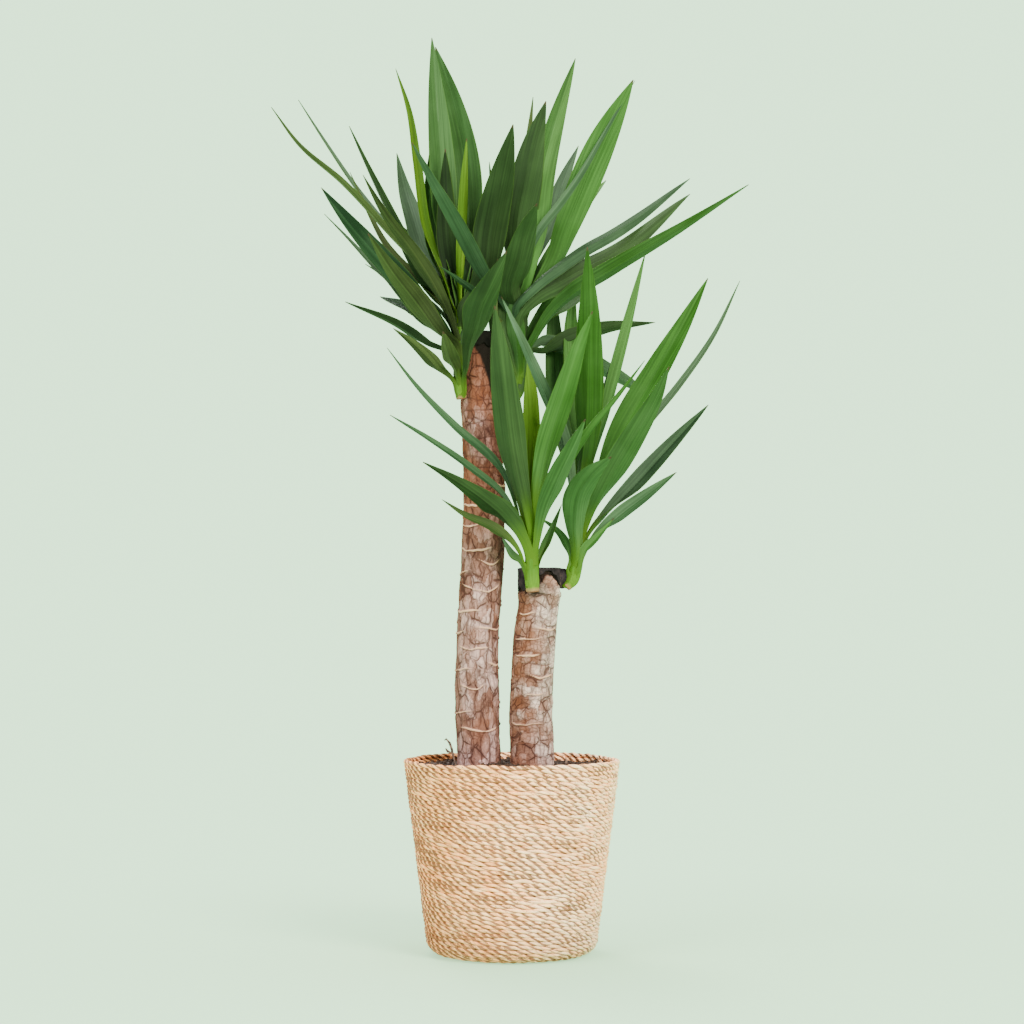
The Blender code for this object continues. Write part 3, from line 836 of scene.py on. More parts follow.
# Upright cracks: angle, lower end, upper end
TALL_CRACKS = [
    (35, 30.5, 34.0), (44, 33.6, 35.6), (-28, 24.5, 27.0), (12, 22.0, 24.6), (-35, 18.0, 20.8),
    (8, 18.2, 20.4), (-48, 27.2, 29.0), (25, 24.0, 28.0), (-20, 29.6, 32.4), (52, 17.5, 21.0),
    (-55, 35.0, 37.5), (30, 18.0, 20.0),
]
SHORT_CRACKS = [
    (-25, 28.7, 31.3), (36, 26.4, 29.5), (-28, 23.7, 25.9), (36, 21.8, 25.1), (-16, 21.9, 23.6),
    (22, 18.5, 21.7), (46, 20.6, 22.3), (20, 33.0, 34.8), (-5, 31.4, 33.6), (60, 24.0, 28.0),
    (6, 17.5, 20.8), (44, 29.6, 33.5),
]
# Thin dark bark edges near the top of the tall cane: height at the left, height at the right
TALL_RINGS = [
    (54.9, 54.7), (53.5, 53.3), (52.1, 52.6), (51.0, 51.4), (49.4, 49.9), (47.9, 47.7), (46.4, 46.9),
]
# Small dark knobs on the right edge of the tall cane: angle, height
TALL_KNOBS = [
    (84, 42.3), (88, 39.2), (80, 36.9), (90, 33.4), (86, 30.2), (93, 27.3), (82, 24.0), (90, 21.9),
]
SCAR_STEP = 2.05  # from one scar to the next, at the back


def back_scars(low, high):
    """Scars for the side away from the front: one every 2 cm, on alternating sides."""
    heights = np.arange(low, high, SCAR_STEP)
    return [(height, 180 + 42 * math.sin(2.4 * row), 62, 62, 0.75) for row, height in enumerate(heights)]


def angle_from(angle, middle):
    """Signed turn from middle to angle, in degrees."""
    return (angle - middle + 180.0) % 360.0 - 180.0


def scar_marks(angle, height, scars):
    """How strongly each point lies on a scar, and in the groove under it with a painted shadow, from 0 to
    1.
    """
    marks, groove_shadows = np.zeros(angle.shape), np.zeros(angle.shape)
    for index, (level, middle, left, right, rise) in enumerate(scars):
        away = angle_from(angle, middle)
        share = np.abs(away) / np.where(away < 0, left, right)
        line = level + 0.75 * rise * np.minimum(share, 1.2) ** 1.3
        line += 0.08 * soft_noise(angle / 16.0, index * 3.7)
        ends = np.clip(1.15 - share ** 3, 0.0, 1.0)
        width = 0.085 + 0.05 * soft_noise(angle / 20.0, index * 1.9 + 0.4)
        marks = np.maximum(marks, ends * bell(height - line, width))
        # Painted shadow: a thin dark line just under each scar.
        groove_shadows = np.maximum(groove_shadows, ends * bell(height - line + 0.15, 0.05))
    return marks, groove_shadows


def crack_marks(angle, height, radius, cracks):
    """How strongly each point lies in an upright crack, from 0 to 1."""
    marks = np.zeros(angle.shape)
    for index, (middle, low, high) in enumerate(cracks):
        wander = 2.5 * soft_noise(height / 0.6, index * 5.1)
        away = np.radians(angle_from(angle, middle + wander)) * radius
        ends = eased(height, low - 0.2, low + 0.3) * (1.0 - eased(height, high - 0.3, high + 0.2))
        marks = np.maximum(marks, ends * bell(away, 0.05))
    return marks


def ring_marks(angle, height, rings):
    """How strongly each point lies on a thin bark edge, from 0 to 1. The edges fade out at the back."""
    marks = np.zeros(angle.shape)
    for index, (left, right) in enumerate(rings):
        line = left + (right - left) * (angle + 90.0) / 180.0 + 0.18 * soft_noise(angle / 24.0, index * 2.3)
        marks = np.maximum(marks, bell(height - line, 0.07))
    return marks * eased(np.abs(angle_from(angle, 0.0)), 175.0, 100.0)


def knob_marks(angle, height, radius, knobs):
    """Small dark buds that never opened, given as (angle, height)."""
    marks = np.zeros(angle.shape)
    for middle, level in knobs:
        away = np.radians(angle_from(angle, middle)) * radius
        marks = np.maximum(marks, bell(away, 0.16) * bell(height - level, 0.12))
    return marks


def plate_marks(angle, height, row_height, columns, seed):
    """Bark plates like uneven bricks: a tone for each plate, and the cracks between them."""
    row = height / row_height + 0.45 * soft_noise(angle / 38.0, seed)
    row += 0.16 * soft_noise(angle / 9.0, height / 0.7, seed)
    course = np.floor(row)
    turn = angle / 360.0 * columns + scrambled(course, seed) + 0.22 * soft_noise(height / 0.5, course, seed)
    column = np.floor(turn) % columns
    tone = scrambled(column, course, seed)
    side = np.minimum(turn % 1.0, 1.0 - turn % 1.0) * 2 * math.pi * CANE_RADIUS / columns
    edge = np.minimum(row % 1.0, 1.0 - row % 1.0) * row_height
    upright = bell(side, 0.065) * eased(scrambled(column, course, seed + 3.0), 0.0, 0.4)
    level = bell(edge, 0.05) * eased(soft_noise(angle / 17.0, course, seed), -0.8, 0.0)
    return tone, np.maximum(upright, level)


print(len(TALL_SCARS), "front scars on the tall cane and", len(SHORT_SCARS), "on the short one")

# %% [markdown]
# The bark is pinkish brown, and its plates are split again by cracks that are too fine for the mesh. A
# net of cells with wandering edges draws them, and streaks, blotches and specks vary the tone. The larger
# scars, cracks and plates come from the kept values, so that their colour falls exactly on their relief.


# %% Bark finish
RUST_RED = (0.17, 0.052, 0.020, 1.0)
CRACK_BROWN = (0.040, 0.013, 0.009, 1.0)
SCAR_CREAM = (0.60, 0.33, 0.21, 1.0)
WAX_AND_SHADE_BLACK = (0.007, 0.005, 0.003, 1.0)


def bark_cracks(tree, place, scale, stretch):
    """A net of wandering cracks: the net, and a tone for each plate between them."""
    push = node(tree, "TexNoise", {"Vector": place, "Scale": scale * 0.9, "Detail": 3.0}).outputs["Color"]
    push = node(tree, "VectorMath", {0: push, 1: (0.5, 0.5, 0.5)}, operation="SUBTRACT").outputs[0]
    push = node(tree, "VectorMath", {0: push, "Scale": 0.4 / scale}, operation="SCALE").outputs[0]
    moved = node(tree, "VectorMath", {0: place, 1: push}, operation="ADD").outputs[0]
    moved = node(tree, "Mapping", {"Vector": moved, "Scale": stretch}).outputs["Vector"]
    inputs = {"Vector": moved, "Scale": scale}
    edge = node(tree, "TexVoronoi", inputs, feature="DISTANCE_TO_EDGE").outputs["Distance"]
    plate = node(tree, "TexVoronoi", inputs, feature="F1").outputs["Color"]
    return edge, node(tree, "SeparateColor", {0: plate}).outputs[0]


def bark_material(name, tints, plate_stretch):
    """Bark whose plates run from dark to pale through the given tints."""
    material, tree, shader = new_material(name, 0.9, 0.08)
    place = object_place(tree)
    edge, plate = bark_cracks(tree, place, 76.0, plate_stretch)
    small_edge, small_plate = bark_cracks(tree, place, 210.0, plate_stretch)
    worn = noise(tree, place, 60.0, detail=2.0)
    net = times(tree, spread(tree, edge, 0.015, 0.06, 0.85, 0.0), spread(tree, worn, 0.42, 0.54))
    fine_net = times(tree, spread(tree, small_edge, 0.02, 0.09, 0.35, 0.0), spread(tree, worn, 0.58, 0.42))
    net = maths(tree, "MAXIMUM", net, fine_net)
    streaks = noise(tree, place, 1.0, (520.0, 520.0, 60.0), 3.0, 0.65)
    blotches = noise(tree, place, 75.0, (1.0, 1.0, 0.6), 6.0, 0.68)
    specks = noise(tree, place, 900.0, detail=2.0)
    # The kept tone holds the bark's own pale and dark patches, and painted light and shade from side to
    # side.
    tone = attribute(tree, "tone_and_side_shade")
    parts = ((attribute(tree, "plate"), 0.26), (blotches, 0.60), (plate, 0.08), (small_plate, 0.05))
    for part, share in parts:
        tone = plus(tree, tone, times(tree, part, share))
    colour = shaded(tree, ramp(tree, tone, tints), spread(tree, streaks, 0.3, 0.7, 0.84, 1.1))
    colour = shaded(tree, colour, spread(tree, specks, 0.3, 0.7, 0.88, 1.06))
    # Painted shade: each plate darkens towards the cracks around it.
    colour = shaded(tree, colour, spread(tree, edge, 0.0, 0.26, 0.72, 1.04))
    colour = shaded(tree, colour, spread(tree, small_edge, 0.0, 0.2, 0.84, 1.04))
    colour = mix(tree, attribute(tree, "rust"), colour, RUST_RED)
    split = maths(tree, "MAXIMUM", attribute(tree, "crack"), times(tree, net, 0.9))
    colour = mix(tree, split, colour, CRACK_BROWN)
    scar = spread(tree, attribute(tree, "scar"), 0.25, 0.75, 0.0, 0.92)
    colour = mix(tree, scar, colour, SCAR_CREAM)
    # The kept shade turns the bark near black: for the wax, the dark knobs and painted shade.
    colour = mix(tree, attribute(tree, "shade"), colour, WAX_AND_SHADE_BLACK)
    feed(tree, shader.inputs["Base Color"], colour)
    height = plus(tree, times(tree, streaks, 0.6), times(tree, specks, 0.3))
    bump(tree, shader, maths(tree, "SUBTRACT", height, times(tree, net, 0.8)), 0.0010, 0.9)
    return material


tall_bark = bark_material("tall_cane_bark", [
    (0.22, (0.090, 0.034, 0.023)), (0.38, (0.20, 0.092, 0.067)), (0.50, (0.32, 0.170, 0.135)),
    (0.65, (0.50, 0.31, 0.27)),
], (1.1, 1.1, 0.62))
short_bark = bark_material("short_cane_bark", [
    (0.20, (0.085, 0.035, 0.024)), (0.35, (0.22, 0.103, 0.070)), (0.48, (0.36, 0.205, 0.158)),
    (0.65, (0.58, 0.41, 0.34)),
], (0.85, 0.85, 1.1))
print("finishes:", tall_bark.name, short_bark.name)

# %% [markdown]
# Both canes are rolled in the same way, but they aren't alike. The tall one is rusty and ringed near its
# top, with painted shade at both edges and painted dark down its right side under the crown. The short
# one has painted light on its right side, which makes it paler, and painted shade on its left edge, and
# its bark reaches up over the wax at the front. One cane copied at two sizes would repeat its scars side
# by side, so each has its own lists and levels.


# %% Roll the bark round each cane
def cane_sheet(name, line, around, rows):
    """A grid rolled round a bent middle line, with each point's angle, height and outward direction."""
    piece, u, v = sheet(name, around, rows)
    line = np.array(line)
    height = line[0, 2] + (line[-1, 2] - line[0, 2]) * v
    angle = 360.0 * u - 180.0
    middle = flowing_line(height, line[:, 2], line[:, :2])
    radius = flowing(height, line[:, 2], line[:, 3])
    outward = np.stack([np.sin(np.radians(angle)), -np.cos(np.radians(angle))], 1)
    return piece, angle, height, middle, radius, outward


def finish_cane(piece, middle, radius, outward, height, material, node_name, kept):
    """Puts the points in place, keeps the values for the paint, and closes the cane."""
    points = np.column_stack([middle + outward * radius[:, None], height]) * CM
    put_points(piece, points)
    for name, values in kept.items():
        keep(piece, name, values)
    sew(piece, fill=True)
    piece.data.materials.append(material)
    stands_for(piece, "cane_bark", node_name)
    print(piece.name, triangles(piece), "triangles")
    return piece


def seamless(angle, height, size, seed):
    """Noise over the bark that meets itself at the back of the cane."""
    turn = np.radians(angle)
    x = np.sin(turn) * CANE_RADIUS / size
    y = np.cos(turn) * CANE_RADIUS / size
    return soft_noise(x, y + seed, height / size)


def build_tall_cane():
    """The tall cane: rusty and ringed near the top, where the wax and painted shade run down one side of
    it.
    """
    piece, angle, height, middle, radius, outward = cane_sheet("tall_cane_bark", TALL_CANE, 144, 560)
    scars, groove_shadows = scar_marks(angle, height, TALL_SCARS + back_scars(19.0, 59.0))
    cracks = crack_marks(angle, height, radius, TALL_CRACKS)
    tone, splits = plate_marks(angle, height, 1.9, 14, 1.0)
    knobs = knob_marks(angle, height, radius, TALL_KNOBS)
    rings = ring_marks(angle, height, TALL_RINGS)
    cracks = np.maximum.reduce([cracks, splits, 0.9 * rings, 0.8 * groove_shadows]) * (1.0 - scars)
    top = eased(height, 33.0, 47.0)
    rust = 0.62 * top * eased(seamless(angle, height, 2.2, 3.0), -0.7, 0.3)
    rust += 0.4 * (1 - top) * eased(seamless(angle, height, 1.7, 8.0), 0.15, 0.8)
    rust += 0.3 * eased(angle, -20.0, -75.0)
    radius = radius - 0.06 + 0.10 * scars - 0.075 * cracks + 0.13 * knobs
    radius += 0.045 * (tone - 0.5) * (1 - cracks)
    radius += 0.06 * seamless(angle, height, 1.6, 1.0) + 0.025 * seamless(angle, height, 0.45, 5.0)
    tone_and_side_shade = 0.07 * seamless(angle, height, 3.0, 6.0) - 0.12 * top
    # Painted shade: both side edges of the tall cane are darker.
    tone_and_side_shade -= 0.12 * eased(angle, 40.0, 80.0) + 0.08 * eased(angle, -45.0, -85.0)
    # Painted dark down the right side near the top: the wax run, with the shade of the crown above it.
    edge_angle = (58.3 - height) * 15.0 + 6.0 * soft_noise(height / 0.8, 4.0)
    wax_shade = 0.96 * eased(angle - edge_angle, -8.0, 8.0) * eased(height, 53.4, 54.6)
    wax_shade = np.clip(wax_shade + 0.3 * eased(height, 55.5, 58.0) + 0.85 * knobs, 0.0, 1.0)
    return finish_cane(piece, middle, radius, outward, height, tall_bark, "tall_cane", {
        "scar": scars, "crack": np.clip(cracks, 0, 1) * 0.85, "plate": tone, "tone_and_side_shade": tone_and_side_shade,
        "rust": np.clip(rust, 0, 1), "shade": wax_shade})


# Where the bark of the short cane breaks through the wax, and a hollow with painted shade beside it, in
# degrees
PEAK_MIDDLE = 24.0
PEAK_REACH = 52.0
HOLLOW_MIDDLE = -14.0


def broken_edge(angle):
    """How far up the bark of the short cane reaches past the wax, from 0 to 1: one peak at the front."""
    away = np.abs(angle_from(angle, PEAK_MIDDLE)) / PEAK_REACH
    return np.clip(1.0 - away ** 1.6, 0.0, 1.0)


def build_short_cane():
    """The short cane: painted light pales its right side, with a broken edge of bark over the wax."""
    piece, angle, height, middle, radius, outward = cane_sheet("short_cane_bark", SHORT_CANE, 156, 320)
    scars, groove_shadows = scar_marks(angle, height, SHORT_SCARS + back_scars(19.5, 35.5))
    cracks = crack_marks(angle, height, radius, SHORT_CRACKS)
    tone, splits = plate_marks(angle, height, 1.1, 13, 4.0)
    cracks = np.maximum.reduce([cracks, splits, 0.8 * groove_shadows]) * (1.0 - scars)
    # Painted light: the right side is paler, and below, painted shade darkens the left edge.
    lit_side = eased(angle, -35.0, 45.0)
    edge = 34.55 + 1.6 * broken_edge(angle) + 0.25 * soft_noise(angle / 7.0, 2.0)
    lip = eased(height, edge + 0.12, edge - 0.12)
    rust = 0.55 * (1 - lit_side) * eased(seamless(angle, height, 1.5, 2.0), -0.6, 0.4)
    # Painted shade in the hollow beside the bark's peak.
    hollow = bell(angle_from(angle, HOLLOW_MIDDLE), 24.0) * eased(height, 34.0, 34.6)
    radius = radius - 0.05 + 0.08 * scars - 0.085 * cracks + 0.06 * (tone - 0.5) * (1 - cracks)
    radius += 0.06 * seamless(angle, height, 1.5, 4.0) + 0.03 * seamless(angle, height, 0.45, 7.0)
    radius += 0.14 * lip * eased(height, 33.6, 34.6) - 0.12 * (1.0 - lip)
    tone_and_side_shade = 0.15 * lit_side - 0.09 + 0.06 * seamless(angle, height, 2.5, 9.0)
    tone_and_side_shade -= 0.10 * eased(angle, -50.0, -80.0)
    return finish_cane(piece, middle, radius, outward, height, short_bark, "short_cane", {
        "scar": scars * 0.9, "crack": np.clip(cracks, 0, 1) * 0.8, "plate": tone, "tone_and_side_shade": tone_and_side_shade,
        "rust": np.clip(rust, 0, 1), "shade": np.clip(1.0 - lip + hollow, 0.0, 1.0) * 0.9})


build_tall_cane()
build_short_cane()

# %% [markdown]
# ## The wax caps
# The cut ends are dipped in dark wax to keep them from drying out. The wax is a thin skin: flat on top,
# soft at the edge, with a torn and dripping lower border. A cylinder with a bevel would be too clean, so
# a profile is swept round the cane, and its border hangs down further at some angles than at others. On
# the short cane the bark breaks through it at the front. The wax of the tall cane is painted almost
# black, as painted shade from the leaves over it. Both are rough, so that their tops stay dark in the
# light.


# %% Wax finish and caps
def wax_material(name, tints):
    """Cloudy, rough wax."""
    material, tree, shader = new_material(name, specular=0.04)
    place = object_place(tree)
    clouds = noise(tree, place, 110.0, detail=3.0)
    scuffs = noise(tree, place, 600.0, detail=2.0)
    feed(tree, shader.inputs["Base Color"], ramp(tree, clouds, tints))
    feed(tree, shader.inputs["Roughness"], spread(tree, clouds, 0.3, 0.7, 0.7, 0.9))
    bump(tree, shader, plus(tree, clouds, times(tree, scuffs, 0.3)), 0.0012, 0.7)
    return material


def build_wax(name, node_name, cane, radius, skirt, material):
    """A closed cap on a cane. skirt gives how far its border hangs down at each angle, in centimetres."""
    piece, u, v = sheet(name, 128, 56)
    x, y = cane[-1][:2]
    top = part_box(node_name)[1].z / CM
    angle = 360.0 * u - 180.0
    turn = np.radians(angle)
    profile_v = [0.0, 0.36, 0.42, 0.46, 0.78, 0.84, 0.90, 1.0]
    across = np.interp(v, profile_v, [0.0, 0.93, 0.99, 1.0, 1.0, 0.985, 0.85, 0.0])
    drop = np.interp(v, profile_v, [0.0, 0.0, 0.10, 0.35, 1.0, 1.02, 1.0, 0.9])
    hang = skirt(angle)
    fall = np.where(v < 0.46, drop / 0.35 * 0.14, 0.14 + (hang - 0.14) * (drop - 0.35) / 0.65)
    waves = seamless(angle, fall * 2.0, 0.9, 3.0)
    out = radius * across + np.where((v > 0.3) & (v < 0.86), 0.035 * waves, 0.0)
    dish = 0.03 * soft_noise(across * 3 * np.sin(turn), across * 3 * np.cos(turn))
    dish -= 0.05 * bell(across, 0.5)
    z = top - fall + np.where(v < 0.4, dish, 0.0)
    put_points(piece, np.stack([x + out * np.sin(turn), y - out * np.cos(turn), z], 1) * CM)
    sew(piece)
    piece.data.materials.append(material)
    stands_for(piece, "pruning_wax", node_name)
    print(name, triangles(piece), "triangles")
    return piece


def tall_skirt(angle):
    """A ragged border that hangs down much the same all round."""
    return 1.35 + 0.25 * soft_noise(angle / 22.0, 1.0) + 0.12 * soft_noise(angle / 7.0, 2.0)


def short_skirt(angle):
    """A longer border that stops where the bark breaks through it."""
    ragged = 1.95 + 0.3 * soft_noise(angle / 24.0, 5.0) + 0.14 * soft_noise(angle / 8.0, 6.0)
    beside_peak = 0.36 * bell(angle_from(angle, HOLLOW_MIDDLE), 20.0)
    return np.maximum(ragged - 1.55 * broken_edge(angle) ** 0.8 - beside_peak, 0.3)


def wax_lump(name, middle, size):
    """A rounded lump of wax beside the short cane's cap, with a flat top just below the cap's."""
    bpy.ops.object.select_all(action="DESELECT")
    bpy.ops.mesh.primitive_uv_sphere_add(segments=40, ring_count=24, radius=1.0)
    lump = bpy.context.object
    lump.name = name
    points = np.array([vert.co[:] for vert in lump.data.vertices])
    x, y, z = points.T * 1.7
    points *= 1.0 + 0.10 * soft_noise(x + 3.0, y, z)[:, None]
    points = points * size + middle
    short_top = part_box("short_cane_wax")[1].z / CM
    points[:, 2] = np.minimum(points[:, 2], short_top - 0.03)
    put_points(lump, points * CM)
    lump.data.shade_smooth()
    lump.data.materials.append(wax)
    return stands_for(lump, "pruning_wax")


wax = wax_material("pruning_wax", [
    (0.35, (0.010, 0.008, 0.008)), (0.55, (0.026, 0.019, 0.020)), (0.72, (0.085, 0.052, 0.044))])
# Painted shade: the tall cane's wax is almost black, for the leaves that shade it.
wax_in_painted_shade = wax_material("wax_in_painted_shade", [
    (0.35, (0.002, 0.002, 0.001)), (0.55, (0.005, 0.005, 0.003)), (0.72, (0.016, 0.012, 0.007))])
build_wax("tall_cane_cap", "tall_cane_wax", TALL_CANE, 1.66, tall_skirt, wax_in_painted_shade)
build_wax("short_cane_cap", "short_cane_wax", SHORT_CANE, 2.16, short_skirt, wax)
wax_lump("short_cane_wax_lump", np.array([4.85, -0.45, 36.0]), np.array([1.0, 0.9, 1.0]))

# %% [markdown]
# ## Leaf finish
# One recipe serves every leaf: fine veins run from foot to tip, the foot is yellowish, the margins are
# thin and light, and the spine at the tip is brown. The two halves of a leaf face different ways and
# catch different light, so each half has its own tone, with that light and the shade on it painted in.
# With a separate material for each green, a change to the veins would have to be made seven times. So the
# recipe is a node group, and each finish gives it its own greens.


# %% The leaf recipe as a node group
TIP_BROWN = (0.050, 0.030, 0.016, 1.0)
FOOT_GREEN = (0.052, 0.108, 0.006)


def leaf_group():
    """A node group that turns a dark and a light green into a whole leaf's colour, roughness and relief."""
    group = bpy.data.node_groups.new("leaf_recipe", "ShaderNodeTree")
    for name in ("Blade", "Light", "Foot"):
        group.interface.new_socket(name, in_out="INPUT", socket_type="NodeSocketColor")
    group.interface.new_socket("Color", in_out="OUTPUT", socket_type="NodeSocketColor")
    group.interface.new_socket("Roughness", in_out="OUTPUT", socket_type="NodeSocketFloat")
    group.interface.new_socket("Height", in_out="OUTPUT", socket_type="NodeSocketFloat")
    given = group.nodes.new("NodeGroupInput")
    result = group.nodes.new("NodeGroupOutput")
    flow = attribute(group, "leaf_flow", "Vector")
    across = attribute(group, "across")
    under = attribute(group, "under")
    veins = noise(group, flow, 1.0, (650.0, 8.0, 1.0), 2.0, 0.6)
    bands = noise(group, flow, 1.0, (300.0, 6.0, 1.0), 2.0, 0.5)
    clouds = noise(group, object_place(group), 26.0, detail=2.0)
    # Each half's tone holds its own green and the light and shade painted on that half.
    left_tone_and_light = attribute(group, "left_tone_and_light", "Color")
    right_tone_and_light = attribute(group, "right_tone_and_light", "Color")
    light = mix(group, spread(group, across, -0.05, 0.05), left_tone_and_light, right_tone_and_light)
    light = plus(group, light, times(group, maths(group, "SUBTRACT", bands, 0.5), 0.5))
    light = plus(group, light, times(group, maths(group, "SUBTRACT", clouds, 0.5), 0.7))
    light = node(group, "Clamp", {"Value": light}).outputs["Result"]
    colour = mix(group, light, given.outputs["Blade"], given.outputs["Light"])
    fine = spread(group, veins, 0.3, 0.7, 0.76, 1.2)
    colour = shaded(group, colour, times(group, fine, plus(group, times(group, under, 0.15), 0.92)))
    margin = spread(group, maths(group, "ABSOLUTE", across), 0.94, 1.0, 0.0, 0.35)
    colour = mix(group, margin, colour, given.outputs["Foot"])
    foot = plus(group, attribute(group, "climb"), times(group, bands, 3.0))
    colour = mix(group, spread(group, foot, 1.5, 6.0, 0.95, 0.0), colour, given.outputs["Foot"])
    tip = spread(group, attribute(group, "to_tip"), 0.5, 0.1)
    colour = mix(group, tip, colour, TIP_BROWN)
    group.links.new(colour, result.inputs["Color"])
    shine = plus(group, spread(group, bands, 0.3, 0.7, 0.46, 0.6), times(group, under, 0.1))
    group.links.new(shine, result.inputs["Roughness"])
    group.links.new(veins, result.inputs["Height"])
    return group


def leaf_material(name, blade, light):
    """The leaf recipe between a dark green and a light one."""
    material, tree, shader = new_material(name, specular=0.05)
    recipe = node(tree, "Group")
    recipe.node_tree = leaf_recipe
    for key, colour in (("Blade", blade), ("Light", light), ("Foot", FOOT_GREEN)):
        recipe.inputs[key].default_value = (*colour, 1.0)
    feed(tree, shader.inputs["Base Color"], recipe.outputs["Color"])
    feed(tree, shader.inputs["Roughness"], recipe.outputs["Roughness"])
    bump(tree, shader, recipe.outputs["Height"], 0.0002, 0.15)
    return material


leaf_recipe = leaf_group()
# The darker finishes also hold painted shade, for the leaves deep in the crown.
LEAF_FINISHES = {
    "dark": leaf_material("leaf_dark_green", (0.0018, 0.0062, 0.0010), (0.0242, 0.0485, 0.0140)),
    "olive": leaf_material("leaf_olive", (0.0051, 0.0098, 0.0021), (0.046, 0.066, 0.0190)),
    "mid": leaf_material("leaf_green", (0.0090, 0.034, 0.0022), (0.043, 0.095, 0.0275)),
    "bright": leaf_material("leaf_bright_green", (0.0105, 0.043, 0.0022), (0.0450, 0.110, 0.0238)),
    "yellow": leaf_material("leaf_yellow_green", (0.024, 0.062, 0.0010), (0.064, 0.126, 0.0090)),
    "teal": leaf_material("leaf_blue_green", (0.0050, 0.0172, 0.0050), (0.044, 0.0825, 0.0370)),
    "pale": leaf_material("leaf_pale_blue", (0.029, 0.055, 0.022), (0.117, 0.194, 0.112)),
}
print(len(LEAF_FINISHES), "leaf finishes")

# %% [markdown]
# ## Leaves
# A yucca leaf is a sword: its foot is a pale sheath that hugs the shoot, it narrows to a neck, is widest
# near the middle, and ends in a spine. The two halves fold up along the middle like a gutter. One leaf
# could be modelled and copied all round, but no two leaves of a real plant bend alike, and the crowns
# would look clipped. So each leaf has a row of its own below.

# %% Shoots and leaves in numbers
# Middle lines of the shoots: (x, y, z, radius)
SHOOTS = {
    "upper_left": [
        (-4.9, -0.96, 53.4, 0.46), (-5.0, -1.12, 54.2, 0.6), (-5.05, -1.4, 55.5, 0.62),
        (-4.95, -1.6, 57.5, 0.6), (-4.95, -1.6, 59.0, 0.58), (-5.0, -1.5, 62.0, 0.5),
        (-5.0, -1.4, 65.0, 0.4), (-4.75, -1.2, 72.0, 0.3), (-4.45, -1.0, 79.1, 0.06),
    ],
    "upper_right": [
        (-1.57, 0.6, 53.2, 0.35), (-0.2, 0.8, 53.3, 0.45), (0.5, 1.0, 54.2, 0.58),
        (0.75, 1.0, 56.0, 0.62), (0.85, 1.0, 59.0, 0.58), (1.0, 1.1, 62.0, 0.5), (1.2, 1.3, 66.0, 0.4),
        (1.5, 2.2, 77.0, 0.3), (2.1, 3.0, 84.3, 0.05),
    ],
    "lower_left": [
        (2.0, -3.25, 34.6, 0.58), (1.95, -3.36, 35.4, 0.66), (1.9, -3.5, 37.0, 0.64),
        (1.85, -3.7, 40.0, 0.56), (1.8, -3.7, 43.5, 0.46), (2.05, -3.75, 49.2, 0.55),
        (1.95, -3.8, 53.0, 0.45), (1.6, -3.8, 57.5, 0.06),
    ],
    "lower_right": [
        (5.2, -0.85, 35.1, 0.42), (5.8, -0.95, 35.7, 0.58), (6.15, -1.0, 37.0, 0.64),
        (6.4, -1.0, 39.0, 0.62), (6.7, -1.0, 42.0, 0.5), (7.3, -0.9, 45.5, 0.4), (9.4, -0.6, 53.4, 0.35),
        (11.2, -0.2, 60.3, 0.25), (13.1, 0.0, 68.0, 0.05),
    ],
}
# Leaf shapes: where a leaf is widest, from 0 at its foot to 1 at its tip, how long it keeps that width, and
# how wide its neck is
SWORD = (0.45, 1.8, 0.56)
SLIM = (0.38, 1.2, 0.56)
RIBBON = (0.3, 2.4, 0.56)
TAPERED = (0.28, 0.9, 0.56)
HIGH = (0.62, 1.8, 0.56)
STALKED = (0.55, 1.3, 0.24)
# The shoot that carries a leaf, by the letters in the leaf's name
SHOOT_OF = {"ul": "upper_left", "ur": "upper_right", "ll": "lower_left", "lr": "lower_right"}
